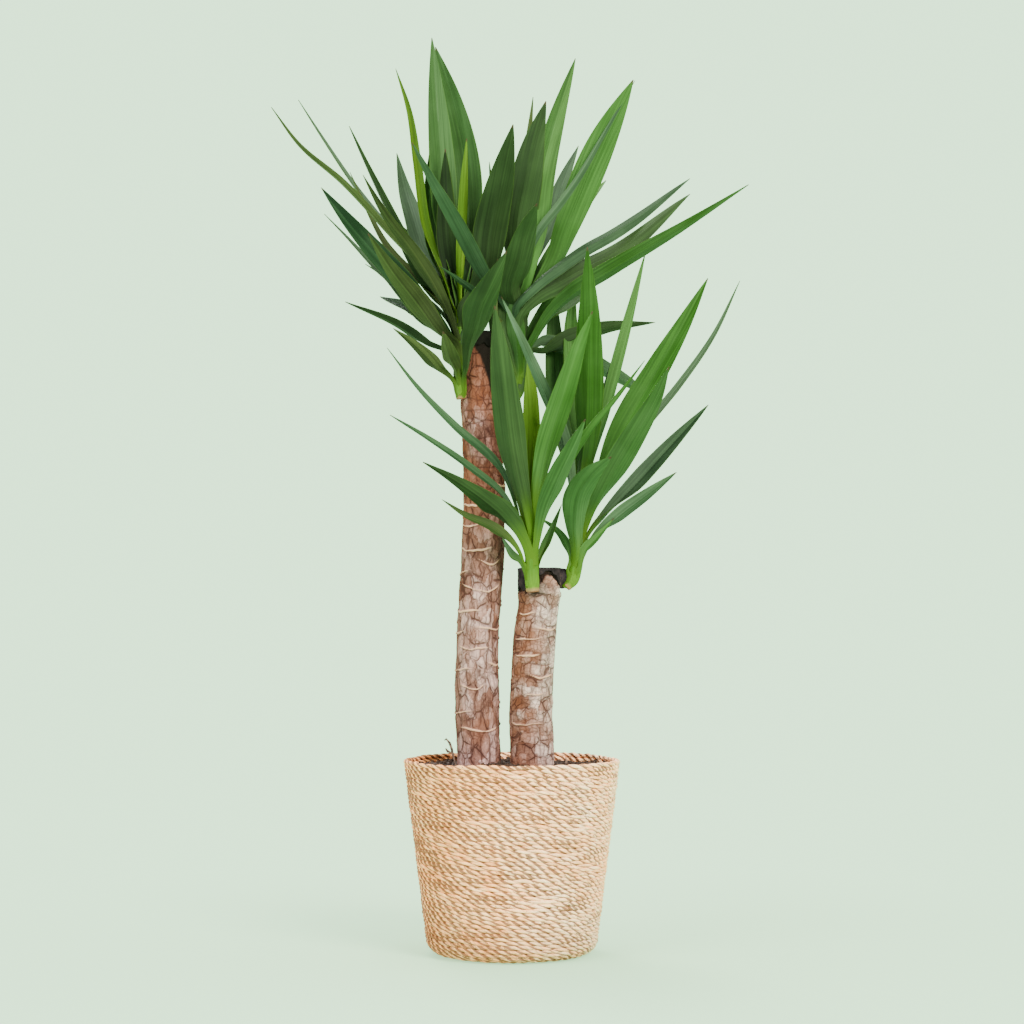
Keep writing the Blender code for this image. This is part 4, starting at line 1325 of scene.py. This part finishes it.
# Leaves: height of the foot up the shoot, bearing of the foot, points on the keel up to the tip, width,
# degrees its face is turned away from the viewer, shape, finish, tones of the left and of the right half.
# The tones hold each half's painted light and shade as well as its own green.
LEAVES = {
    "leaf_ul_01": (1.8, 255, [(-5.9, -5.4, 56.9), (-6.5, -8, 59)], 1.8, 20, SWORD, "olive", 0.74, 0.75),
    "leaf_ul_02": (1.4, 205, [(-7.1, -3, 56), (-8.3, -3.9, 57.3), (-9.7, -5, 58.5), (-11.3, -6, 59.6)],
                   1.6, 25, SLIM, "olive", 0.4, 0.75),
    "leaf_ul_03": (3.8, 178, [(-8.5, -0.9, 58.8), (-10.9, -0.8, 60.5), (-16.3, -0.8, 63)],
                   1.5, 45, SLIM, "dark", 0.6, 0.3),
    "leaf_ul_04": (4.3, 142, [(-10, 4.5, 62.9), (-13.6, 10, 65.3)], 1.6, 40, SWORD, "teal", 0.1, 0.3),
    "leaf_ul_05": (4.6, 230, [(-6.9, -4, 59.3), (-8.9, -5.5, 61.9), (-11.3, -8.5, 64.7),
                   (-13.3, -12, 67.5)], 2.5, 15, SLIM, "olive", 0.6, 0.32),
    "leaf_ul_06": (5, 192, [(-9.5, -2.3, 63.3), (-12.6, -2.7, 66.7), (-15.9, -3, 70.5), (-18.5, -3, 73.8)],
                   2.4, 20, SWORD, "teal", 0.15, 0.04),
    "leaf_ul_07": (5.8, 155, [(-13.8, 5, 67.4), (-17, 7, 71.1), (-19.2, 8, 73.5)],
                   1.0, 40, SLIM, "teal", 0.5, 0.5),
    "leaf_ul_08": (4.8, 120, [(-8.4, 7.4, 68), (-12.4, 13, 74)], 2.2, 20, SWORD, "dark", 0.2, 0.4),
    "leaf_ul_09": (6, 228, [(-7.5, -4.5, 63.9), (-9.2, -6, 66.5), (-11.9, -9, 69.9), (-13.8, -12, 73)],
                   1.8, 20, SLIM, "olive", 0.42, 0.3),
    "leaf_ul_10": (7.8, 188, [(-9.9, -2, 67.7), (-11.8, -2, 71.2), (-14, -2, 75.8), (-15.9, -2, 80.1)],
                   1.5, 60, SWORD, "dark", 0.7, 0.5),
    "leaf_ul_11": (6.4, 168, [(-13.1, 2, 70.1), (-14.9, 2.5, 73.8), (-16.2, 3, 76.7)],
                   1.0, 30, SLIM, "olive", 0.4, 0.5),
    "leaf_ul_12": (6.8, 210, [(-12.9, -4.5, 70.2), (-16.1, -6, 73.5), (-20.3, -7.5, 77),
                   (-22.8, -8, 80.4)], 1.1, 50, RIBBON, "olive", 0.9, 0.6),
    "leaf_ul_13": (7.2, 145, [(-13.2, 6, 72.3), (-16.1, 8, 76.3), (-19.3, 9.5, 81.3), (-22.2, 10.5, 86)],
                   0.9, 50, RIBBON, "teal", 0.8, 0.8),
    "leaf_ul_14": (1.6, 300, [(-4.35, -3.2, 56.2), (-4.1, -4.4, 57.9), (-3.5, -6.5, 59.5),
                   (-2.9, -9.5, 61.1), (-1.7, -12.5, 63.2), (-0.5, -14.5, 65.4)],
                   3.2, 15, STALKED, "dark", 0.6, 1.0),
    "leaf_ul_15": (8.4, 125, [(-9.4, 6, 70.4), (-10.1, 7.5, 72.8), (-11.2, 10, 76.7), (-12, 11.5, 80.6)],
                   2.6, 25, SWORD, "teal", 0.95, 1.0),
    "leaf_ul_16": (7.6, 84, [(-6.2, 0, 69.7), (-6.4, 0.2, 73.8), (-6.6, 0.4, 78.4)],
                   2.5, 25, SWORD, "dark", 0.25, 0.5),
    "leaf_ul_17": (8.8, 172, [(-8.6, 0.8, 70.9), (-9.5, 1.4, 77.5), (-10.3, 1.8, 82.7), (-11.6, 2, 86.9)],
                   1.2, 30, RIBBON, "yellow", 0.5, 0.15),
    "leaf_ul_18": (8.2, 320, [(-3.5, -1.6, 63.2), (-2.5, -1.8, 65.6), (-2.0, -2.6, 69.2),
                   (-1.0, -4.6, 73.9), (0.1, -7, 79)], 3.7, 15, SWORD, "dark", 0.4, 0.45),
    "leaf_ul_19": (10, 112, [(-6.8, 2.2, 71.9), (-7.1, 2.4, 77), (-7.6, 2.3, 84.1), (-8, 1.9, 90)],
                   3.1, 20, SWORD, "mid", 0.55, 0.95),
    "leaf_ul_20": (11, 50, [(-4.3, 2.8, 72.1), (-4.8, 3.8, 78.4), (-6.1, 3.9, 84.4), (-7.7, 3.4, 89.5)],
                   3.9, 15, SWORD, "mid", 0.4, 0.66),
    "leaf_ur_01": (4.8, 22, [(3.3, 2.6, 58.4), (5.8, 4, 59.9), (9.2, 5.5, 61.3), (14.5, 6.5, 62.1)],
                   2.3, 25, SLIM, "dark", 0.6, 0.6),
    "leaf_ur_02": (5.4, 55, [(3.3, 1.8, 61.8), (5.9, 4, 64.4), (9.1, 8, 67.0)],
                   2.8, 20, SWORD, "bright", 1.0, 0.4),
    "leaf_ur_03": (4, 300, [(2.5, -0.8, 59.6), (3.8, -1.2, 61.6), (5.8, -1.6, 63.5), (9.5, -2, 65.8),
                   (16.2, -2.4, 69.8), (23, -2.5, 74.2)], 2.2, 35, SLIM, "mid", 0.2, 0.4),
    "leaf_ur_04": (5, 262, [(0.7, -2, 61.7), (2.4, -2, 63.5), (4.7, -1.6, 64.8), (6.8, -0.8, 66.1),
                   (9.6, 0.8, 67.8), (18, 5.5, 75)], 2.5, 20, SWORD, "dark", 0.95, 0.8),
    "leaf_ur_05": (6.2, 250, [(0.5, -2.8, 62.4), (2.4, -2.8, 64.5), (4.7, -2.4, 66.3), (6.8, -1.6, 67.9),
                   (9.7, 0.6, 69.9), (18.4, 10, 77.6)], 1.6, 35, RIBBON, "teal", 0.35, 0.35),
    "leaf_ur_06": (6.2, 235, [(-3.3, -4, 65.9), (-5.2, -8, 69), (-7.3, -11.5, 72.3), (-9.2, -14, 75.6)],
                   1.9, 25, SWORD, "teal", 0.5, 0.35),
    "leaf_ur_07": (7.4, 275, [(0, -3, 63.8), (0.7, -6, 66), (1.4, -8.5, 68.4), (2.3, -11.5, 70.4)],
                   3.1, 15, SWORD, "dark", 0.75, 0.9),
    "leaf_ur_08": (9, 66, [(5.5, 7.6, 70.9), (7.7, 11, 75.3), (9.9, 14, 78.3)],
                   2.2, 25, SWORD, "bright", 0.9, 0.9),
    "leaf_ur_09": (10.2, 92, [(4.2, 8.5, 73.5), (5.5, 11.5, 78), (7, 14, 82)],
                   2.2, 25, SWORD, "teal", 0.5, 0.75),
    "leaf_ur_10": (8.8, 322, [(4.6, 0.4, 67.8), (5.3, -0.2, 70), (6.6, -1.2, 73.2), (8.7, -2.6, 78),
                   (11.7, -4.5, 84)], 3.3, 10, HIGH, "bright", 0.6, 0.65),
    "leaf_ur_11": (7.9, 200, [(1.2, -1.4, 65.2), (2.2, -1.4, 69.8), (2.9, 0.4, 75.6), (4.4, 4, 82.3),
                   (6.5, 7.5, 89.5)], 2.7, 15, SWORD, "bright", 0.22, 0.6),
    "leaf_ur_12": (9.8, 250, [(0.5, -0.9, 70.6), (1.3, -2, 74.8), (2.3, -2.6, 79.1), (3.3, -3, 82.3)],
                   3.9, 10, SWORD, "dark", 0.6, 0.65),
    "leaf_ll_01": (2.6, 195, [(-1.9, -5.6, 40.7), (-4.4, -6.6, 41.8), (-6.6, -7.5, 43.2)],
                   1.2, 20, SLIM, "olive", 0.6, 0.7),
    "leaf_ll_02": (3.6, 225, [(-0.5, -5.8, 41.2), (-2.6, -8.5, 43), (-5.6, -11.5, 44.9),
                   (-8.1, -13.5, 46.2)], 3.0, 20, TAPERED, "dark", 0.4, 0.75),
    "leaf_ll_03": (2, 50, [(4, -2.2, 41), (4.8, -2, 43.1)], 1.0, 20, SLIM, "mid", 0.4, 0.5),
    "leaf_ll_04": (4.8, 200, [(-1, -5, 43.8), (-4, -6.4, 46.3), (-7.7, -7.8, 48.8), (-11.4, -9, 51)],
                   0.9, 35, RIBBON, "teal", 0.5, 0.7),
    "leaf_ll_05": (5.6, 178, [(-1.6, -4.4, 46.8), (-5.4, -4.8, 50.3), (-9.2, -5.2, 54.3),
                   (-11.9, -5.5, 57.8)], 1.1, 30, SLIM, "teal", 0.6, 0.7),
    "leaf_ll_06": (4, 305, [(3, -6, 41.9), (4.1, -9.4, 44.7), (5.5, -12.8, 47.6), (6.6, -15.5, 49.9)],
                   2.1, 20, SWORD, "mid", 0.55, 1),
    "leaf_ll_07": (5, 335, [(4.7, -6, 45.6), (7.3, -7.6, 49.7), (9.9, -9, 52.8), (12.3, -10.5, 55.9)],
                   1.2, 30, SLIM, "bright", 0.4, 0.45),
    "leaf_ll_08": (5.6, 248, [(-0.1, -6.8, 47.9), (-0.7, -8.8, 52.4), (-1.2, -10.8, 56.8),
                   (-1.6, -12.5, 60.7)], 3.3, 15, SWORD, "dark", 0.8, 0.9),
    "leaf_ll_09": (6.6, 292, [(3.3, -6.4, 47.9), (5.0, -8.8, 53.2), (6.3, -10.8, 57.3),
                   (7.4, -12.5, 60.2)], 2.6, 15, SWORD, "bright", 0.62, 0.45),
    "leaf_lr_01": (3.2, 346, [(8.3, -2.2, 40.1), (10.4, -3, 42), (13.2, -3.8, 44.1), (15.7, -4.5, 46)],
                   1.6, 25, SWORD, "teal", 0.9, 0.6),
    "leaf_lr_02": (2.6, 272, [(6.1, -3.6, 41), (6.4, -6.8, 43.8), (7.4, -9.4, 45.4), (9.1, -12, 46.8)],
                   2.9, 15, SWORD, "mid", 0.75, 0.9),
    "leaf_lr_03": (4.6, 8, [(9.1, -0.2, 42.0), (12.4, 0.8, 45.5), (16.0, 1.7, 49.5), (19.4, 2, 53.2)],
                   2.0, 25, SWORD, "teal", 0.6, 0.25),
    "leaf_lr_04": (5.2, 316, [(9.2, -4.8, 45), (11.5, -7.6, 49.1), (13.3, -9.6, 52.3),
                   (14.5, -11.5, 55.2)], 2.7, 15, SWORD, "mid", 0.48, 0.48),
    "leaf_lr_05": (6, 36, [(12.9, 3, 50.6), (16.8, 5, 55.5), (20.5, 6.5, 60.9), (23.2, 7.5, 66.5)],
                   1.0, 35, RIBBON, "teal", 1.0, 0.9),
    "leaf_lr_06": (6.8, 342, [(10.6, -2.6, 50), (14, -4, 55.9), (16.5, -5, 60.3), (18.7, -5.5, 64.5)],
                   2.9, 15, SWORD, "bright", 0.4, 0.2),
    "leaf_lr_07": (6, 228, [(4.6, -4.6, 50), (2.9, -6.6, 53.8), (0.9, -8.2, 58.2), (-1, -9.2, 62.1)],
                   1.5, 25, RIBBON, "pale", 0.42, 0.18),
    "leaf_lr_08": (7, 125, [(4.5, 4, 54), (4.2, 6, 60), (4.2, 8, 66.5)], 2.8, 20, SWORD, "mid", 0.6, 1.0),
    "leaf_lr_09": (8, 240, [(7.2, -2, 51.3), (7.3, -3.4, 56.9), (7.3, -5, 62.5), (7.2, -5.5, 67.5)],
                   3.2, 15, SWORD, "bright", 0.15, 0.2),
    "young_ul_core": (6.6, 345, [(-3.4, -1.5, 62.5), (-2.9, -1.6, 65.5), (-2.5, -1.8, 68.4)],
                      2.6, 15, SWORD, "dark", 0, 0.1),
    "young_ur_left": (3.2, 200, [(-0.8, -0.2, 59), (-1.3, -0.5, 61.7), (-1.4, -0.7, 65)],
                      2.8, 15, SWORD, "dark", 0.5, 0.9),
    "young_ur_front": (3.4, 262, [(0.4, -1, 59.4), (0.1, -1.2, 62.1), (0.2, -1.3, 65)],
                       2.0, 15, SWORD, "mid", 0.6, 0.15),
    "young_ul_fill": (6.2, 200, [(-6.2, -0.8, 62.4), (-8.4, -1, 65.2), (-10.8, -1.2, 68.2)],
                      2.3, 20, SWORD, "dark", 0.6, 0.3),
    "young_ul_behind": (7.4, 150, [(-6.6, 1.8, 66), (-7.9, 2.4, 69.5), (-8.3, 2.8, 74.5), (-8.2, 3, 79)],
                        1.9, 20, SWORD, "mid", 0.35, 0.5),
    "young_ul_teal": (6.5, 300, [(-3.4, -5, 62.5), (-5.1, -9, 63.8), (-6.8, -11, 64.7)],
                      1.0, 20, SLIM, "teal", 0.3, 0.3),
    "young_ul_dark": (5.4, 150, [(-8.6, 1, 61), (-11.1, 2.5, 64.1), (-13, 3.5, 66.4), (-14.7, 4, 67.6)],
                      1.2, 40, SLIM, "teal", 0.45, 0.5),
    "young_ul_tip": (9, 70, [(-2.6, 3, 70.8), (-2.1, 4.5, 75.7), (-2.3, 5, 78.2)],
                     1.0, 30, SWORD, "dark", 0.2, 0.2),
    "young_ur_blue": (8.4, 230, [(2.5, -2.2, 69.6), (4.6, -2.4, 72.3), (6.2, -2.6, 74.5),
                      (8.8, -3.2, 78.8), (11.9, -4.2, 84)], 1.0, 20, SLIM, "teal", 0.95, 0.45),
    "young_ur_droop": (3.8, 30, [(3.2, 3.8, 59.4), (5.3, 5, 59), (8.9, 6, 57.4), (13, 7, 55.2),
                       (14.6, 7.5, 54.2)], 2.3, 30, RIBBON, "teal", 1.0, 1.0),
    "young_ur_yellow": (7, 200, [(-1.7, -1, 61.4), (-1.6, -1.2, 64.1), (-1.4, -1.2, 67.3)],
                        0.8, 20, SLIM, "olive", 0.4, 0.9),
    "young_lr_blue": (7.5, 60, [(7.8, 0.5, 49.6), (9.1, 1.4, 54.4), (10, 1.8, 57.6), (10.9, 2, 60.3)],
                      1.0, 30, SLIM, "teal", 0.8, 0.9),
    "young_lr_bright": (8.4, 140, [(6.5, 1.8, 50.6), (6, 3.5, 57.9), (5.9, 5, 62.1), (6.4, 6, 66)],
                        2.6, 20, SWORD, "bright", 1.0, 0.6),
    "young_lr_short": (1.8, 300, [(6.9, -2.2, 38.4), (8.2, -2.6, 39.9), (9.8, -3, 41.7)],
                       1.1, 25, SLIM, "bright", 1, 0.55),
    "young_lr_arch": (1.6, 200, [(5.5, -1.3, 37.8), (4.8, -1.4, 40), (3.6, -1.5, 41.2), (2.6, -1.6, 41.8)],
                      1.1, 25, SLIM, "mid", 0.7, 0.8),
    "young_ll_teal": (1.9, 180, [(0.9, -3.4, 37), (-0.1, -3.2, 38.3), (-1, -3, 40)],
                      1.0, 25, SLIM, "teal", 1, 1),
}


print(len(LEAVES), "leaves on", len(SHOOTS), "shoots")

# %% [markdown]
# Each leaf is a grid bent along its own keel, which starts as a sheath on the shoot and runs out to the
# tip. The grid is folded and curled across the keel, and a Solidify modifier gives it its thickness. If
# its width followed the foot all the way, many leaves would be seen on edge. So between its foot and its
# middle a leaf turns, until it shows as much of its face to the viewer as the real one does.


# %% Bend a grid into a leaf
LEAF_THICKNESS = 0.7 * MM
KEEL_STEP = 0.004  # the share of the keel over which its heading is taken
SHEATH_LENGTH = 1.5
# How much shorter the pale foot of a leaf is for each centimetre of its height up the shoot
FADED_FEET = {"upper_right": 0.5, "upper_left": 0.4, "lower_left": -0.35, "lower_right": -0.25}
# Finishes that share a slot with another
SLOT_OF = {"olive": "dark", "yellow": "bright", "teal": "bluish", "pale": "bluish"}


def along_shoot(line, height):
    """Middle and radius of a shoot at a height above its foot."""
    line = np.array(line)
    level = line[0, 2] + height
    x, y, radius = (np.interp(level, line[:, 2], line[:, axis]) for axis in (0, 1, 3))
    return np.array([x, y, level]), radius


def unit(vectors):
    """The same directions, each with length 1."""
    return vectors / np.linalg.norm(vectors, axis=1)[:, None]


def facing_the_eye(points, forward, sideways, v, start, away):
    """The angle of a leaf's width between two directions across it: flat to the viewer's eye, and on edge.

    It follows the foot first, and then turns to the nearest angle that is the wanted degrees off flat.
    """
    flat = unit(np.cross(forward, unit(np.array(EYE) / CM - points)))
    edge = np.cross(forward, flat)
    natural = unit(sideways - forward * (forward @ sideways)[:, None])
    angle = np.degrees(np.arctan2((natural * edge).sum(1), (natural * flat).sum(1)))
    middle = float(np.median(angle[(v > 0.45) & (v < 0.75)]))
    goals = np.array([away, -away, 180.0 - away, away - 180.0])
    goal = goals[np.argmin(np.abs(angle_from(goals, middle)))]
    return angle + angle_from(goal, angle) * eased(v, start, start + 0.4), flat, edge


def thicken(piece, thickness):
    """Gives a sheet its thickness, and marks the points of its underside."""
    sheet_points = len(piece.data.vertices)
    bpy.ops.object.modifier_add(type="SOLIDIFY")
    solid = piece.modifiers[-1]
    solid.thickness = thickness
    solid.offset = 0.0
    bpy.ops.object.modifier_apply(modifier=solid.name)
    under = np.zeros(len(piece.data.vertices))
    under[:sheet_points] = 1.0
    keep(piece, "under", under)


def blade(name, keys, keel, sideways, halves, folds, curls, start, away, seed, material, tones, faded=0.0):
    """A leaf blade: a grid bent along a keel given at rising keys from 0 to 1, folded and curled across."""
    piece, u, v = sheet(name, 10, 64)
    points = flowing_line(v, keys, keel)
    before = flowing_line(np.maximum(v - KEEL_STEP, 0), keys, keel)
    after = flowing_line(np.minimum(v + KEEL_STEP, 1), keys, keel)
    forward = unit(after - before)
    angle, flat, edge = facing_the_eye(points, forward, sideways, v, start, away)
    angle = np.radians(angle + 3.0 * soft_noise(v * 3.0, seed))[:, None]
    side = flat * np.cos(angle) + edge * np.sin(angle)
    upper = np.cross(forward, side)
    half = flowing(v, *zip(*halves))
    fold = np.radians(np.interp(v, *zip(*folds)))
    curl = np.radians(np.interp(v, *zip(*curls))) + 0.001
    share = np.abs(2 * u - 1)
    out = half * (np.sin(fold + curl * share) - np.sin(fold)) / curl
    rise = half * (np.cos(fold) - np.cos(fold + curl * share)) / curl
    rise += half * share ** 2 * 0.07 * soft_noise(v * 6.0, np.sign(u - 0.5) * 3.0 + seed)
    points = points + side * (np.sign(2 * u - 1) * out)[:, None] + upper * rise[:, None]
    put_points(piece, points * CM)
    lengths = run_along(flowing_line(np.linspace(0, 1, 60), keys, keel))
    climb = np.interp(v, np.linspace(0, 1, len(lengths)), lengths)
    facing = 1.0 if side[(v > 0.5) & (v < 0.7), 0].mean() > 0 else -1.0
    keep(piece, "across", (2 * u - 1) * facing)
    keep(piece, "climb", climb + faded)
    keep(piece, "to_tip", lengths[-1] - climb)
    keep(piece, "left_tone_and_light", np.full(len(v), tones[0]))
    keep(piece, "right_tone_and_light", np.full(len(v), tones[1]))
    flow = np.stack([(2 * u - 1) * half * CM + seed, climb * CM + seed * 3.0, np.zeros(len(v))], 1)
    keep_place(piece, "leaf_flow", flow)
    thicken(piece, LEAF_THICKNESS)
    bpy.ops.object.shade_smooth_by_angle(angle=math.radians(34.0))
    piece.data.materials.append(material)
    return piece


def foot_distance(radius, width, lean):
    """Distance from a shoot's middle to the keel of a plain leaf's foot."""
    fold = math.radians(42.0)
    half = width / 2 * 0.42
    clear = radius * math.cos(math.pi / 12) + 0.14
    reach = min(half, clear * math.tan(fold))
    return reach * math.sin(fold) * math.cos(lean) + math.sqrt(clear ** 2 - (reach * math.cos(fold)) ** 2)


def half_widths(start, width, shape, hug):
    """Half the width of a leaf at rising shares: sheath, neck, widest part and tip."""
    peak, taper, neck = shape
    lower = np.array([0.0, 0.1, 0.2, 0.3])
    upper = peak + (1 - peak) * np.array([0.2, 0.4, 0.6, 0.75, 0.87, 0.95, 1.0])
    shares = np.concatenate([lower[lower < peak - 0.06], [peak], upper])
    below = neck + (1.0 - neck) * eased(shares, 0.04, peak)
    above = 1.0 - (np.clip(shares - peak, 0.0, 1.0) / (1.0 - peak)) ** taper
    values = np.where(shares <= peak, below, 0.97 * above + 0.02) * width / 2
    return [(0.0, hug * 0.9), (start * 0.6, hug)] + list(zip(start + (1 - start) * shares, values))


def build_leaf(name, number):
    """One leaf. Its sheath hugs the shoot, bends outwards at the foot and runs on along the keel."""
    height, bearing, points, width, away, shape, finish, left, right = LEAVES[name]
    shoot = SHOOT_OF[name.split("_")[1]]
    line = SHOOTS[shoot]
    centre, radius = along_shoot(line, height)
    bearing = math.radians(bearing)
    sideways = np.array([-math.sin(bearing), math.cos(bearing), 0.0])
    outward = np.array([math.cos(bearing), math.sin(bearing), 0.0])
    heading = unit(np.array([points[0]]) - centre)[0]
    foot = centre + outward * foot_distance(radius, width, math.acos(heading[2]))
    sheath = min(height - 0.1, SHEATH_LENGTH)
    low, low_radius = along_shoot(line, height - sheath)
    hip, hip_radius = along_shoot(line, height - sheath * 0.35)
    low = low + outward * (low_radius + 0.03)
    hip = hip + outward * (hip_radius + 0.06)
    keel = np.vstack([low, hip, foot, points])
    run = run_along(keel)
    keys = run / run[-1]
    start = float(keys[2])
    halves = half_widths(start, width, shape, 1.35 * low_radius)
    folds = [(0.0, 6), (start, 18), (start + 0.12, 34), (start + 0.35, 21), (1.0, 12)]
    curls = [(0.0, 72), (start, 55), (start + 0.12, 22), (start + 0.35, 10), (1.0, 2)]
    piece = blade(name + "_blade", keys, keel, sideways, halves, folds, curls, start, away, number * 1.7,
                  LEAF_FINISHES[finish], (left, right), FADED_FEET[shoot] * height)
    nodes = [name] if name.startswith("leaf") else []
    return stands_for(piece, "leaf_" + SLOT_OF.get(finish, finish), *nodes)


leaves = [build_leaf(name, number) for number, name in enumerate(LEAVES)]
print(len(leaves), "leaves,", sum(triangles(leaf) for leaf in leaves), "triangles")

# %% [markdown]
# ## Shoots
# Each shoot is a short fleshy stem, pinkish where it breaks out of the bark and yellow-green above,
# wrapped by the sheaths of its leaves. At its heart the youngest leaf is still rolled into a spear. A
# cone would look like a peg, so the stem is a fluted tube along a bent line, and the spear is a leaf
# folded almost shut.


# %% Stem finish, stems and spears
STEM_SHADOW = (0.012, 0.030, 0.006, 1.0)


def stem_material():
    """Pinkish where the stem breaks out of the bark, yellow-green above, with fine upright fibres."""
    material, tree, shader = new_material("young_stem", 0.5, 0.12)
    place = object_place(tree)
    fibres = noise(tree, place, 1.0, (900.0, 900.0, 70.0), 2.0)
    clouds = noise(tree, place, 160.0, detail=2.0)
    climb = plus(tree, attribute(tree, "climb"), times(tree, clouds, 0.14))
    colour = ramp(tree, times(tree, climb, 0.25), [
        (0.03, (0.16, 0.055, 0.030)), (0.07, (0.26, 0.15, 0.060)), (0.16, (0.085, 0.17, 0.010)),
        (0.60, (0.045, 0.12, 0.004)),
    ])
    colour = shaded(tree, colour, spread(tree, fibres, 0.3, 0.7, 0.85, 1.1))
    colour = mix(tree, attribute(tree, "shade"), colour, STEM_SHADOW)
    feed(tree, shader.inputs["Base Color"], colour)
    bump(tree, shader, fibres, 0.0005, 0.5)
    return material


# Spears: height up the shoot where it starts, widest half, finish, tone of the left and of the right half,
# which holds painted light and shade
SPEARS = {
    "upper_left": (6.0, 0.62, "yellow", 0.4, 1.0),
    "upper_right": (8.0, 0.55, "olive", 0.5, 0.6),
    "lower_left": (5.0, 1.08, "yellow", 0.8, 0.7),
    "lower_right": (5.0, 0.72, "bright", 1.0, 1.0),
}
# How much each stem is darkened by the leaves that crowd it
STEM_SHADE = {"upper_left": 0.2, "upper_right": 0.9, "lower_left": 0.0, "lower_right": 0.1}
STEM_LENGTH = 7.0
stem_finish = stem_material()


def build_stem(shoot, line):
    """A fluted tube from the bark up, closed at both ends."""
    piece, u, v = sheet(shoot + "_stem", 40, 70)
    line = np.array(line)
    run = run_along(line[:, :3])
    top = min(STEM_LENGTH, run[-1])
    climb = np.clip((v - 0.04) / 0.92, 0.0, 1.0) * top
    middle = flowing_line(climb, run, line[:, :3])
    ahead = flowing_line(np.minimum(climb + 0.05, top), run, line[:, :3])
    ahead -= flowing_line(np.maximum(climb - 0.05, 0), run, line[:, :3])
    ahead = unit(ahead)
    first = unit(np.cross(ahead, np.array([0.0, 1.0, 0.0])))
    second = np.cross(ahead, first)
    angle = 2 * math.pi * u
    flutes = 1.0 + 0.04 * np.sin(5 * angle + 1.0) + 0.03 * soft_noise(climb / 0.5)
    radius = flowing(climb, run, line[:, 3]) * flutes * (1.0 + 0.10 * bell(climb - 0.18, 0.14))
    radius = np.where((v < 0.03) | (v > 0.97), 0.0, radius)
    points = middle + radius[:, None] * (np.cos(angle)[:, None] * first + np.sin(angle)[:, None] * second)
    put_points(piece, points * CM)
    keep(piece, "climb", climb)
    keep(piece, "shade", np.full(len(v), STEM_SHADE[shoot]) * eased(climb, 1.6, 3.2))
    sew(piece)
    piece.data.materials.append(stem_finish)
    return piece


def build_spear(name, line, number):
    """The youngest leaf, rolled round the middle line of its shoot."""
    start, widest, finish, left, right = SPEARS[name]
    foot, _ = along_shoot(line, start)
    upper = [point[:3] for point in line if point[2] > foot[2] + 0.5]
    keel = np.vstack([foot, *upper])
    run = run_along(keel)
    sideways = np.array([1.0, 0.15, 0.0])
    halves = [(0.0, widest * 0.5), (0.2, widest * 0.62), (0.5, widest), (0.75, widest * 0.8),
              (0.93, widest * 0.28), (1.0, 0.02)]
    folds = [(0, 50), (0.4, 20), (1, 25)]
    curls = [(0, 70), (0.5, 30), (1, 5)]
    return blade(name + "_spear", run / run[-1], keel, sideways, halves, folds, curls, 0.0, 15,
                 90.0 + number, LEAF_FINISHES[finish], (left, right))


def build_shoot(name, number):
    line = SHOOTS[name]
    piece = join([build_stem(name, line), build_spear(name, line, number)], name + "_stem_and_spear")
    return stands_for(piece, "shoot_green", name + "_shoot")


for number, name in enumerate(SHOOTS):
    build_shoot(name, number)
print(len(SHOOTS), "shoots")
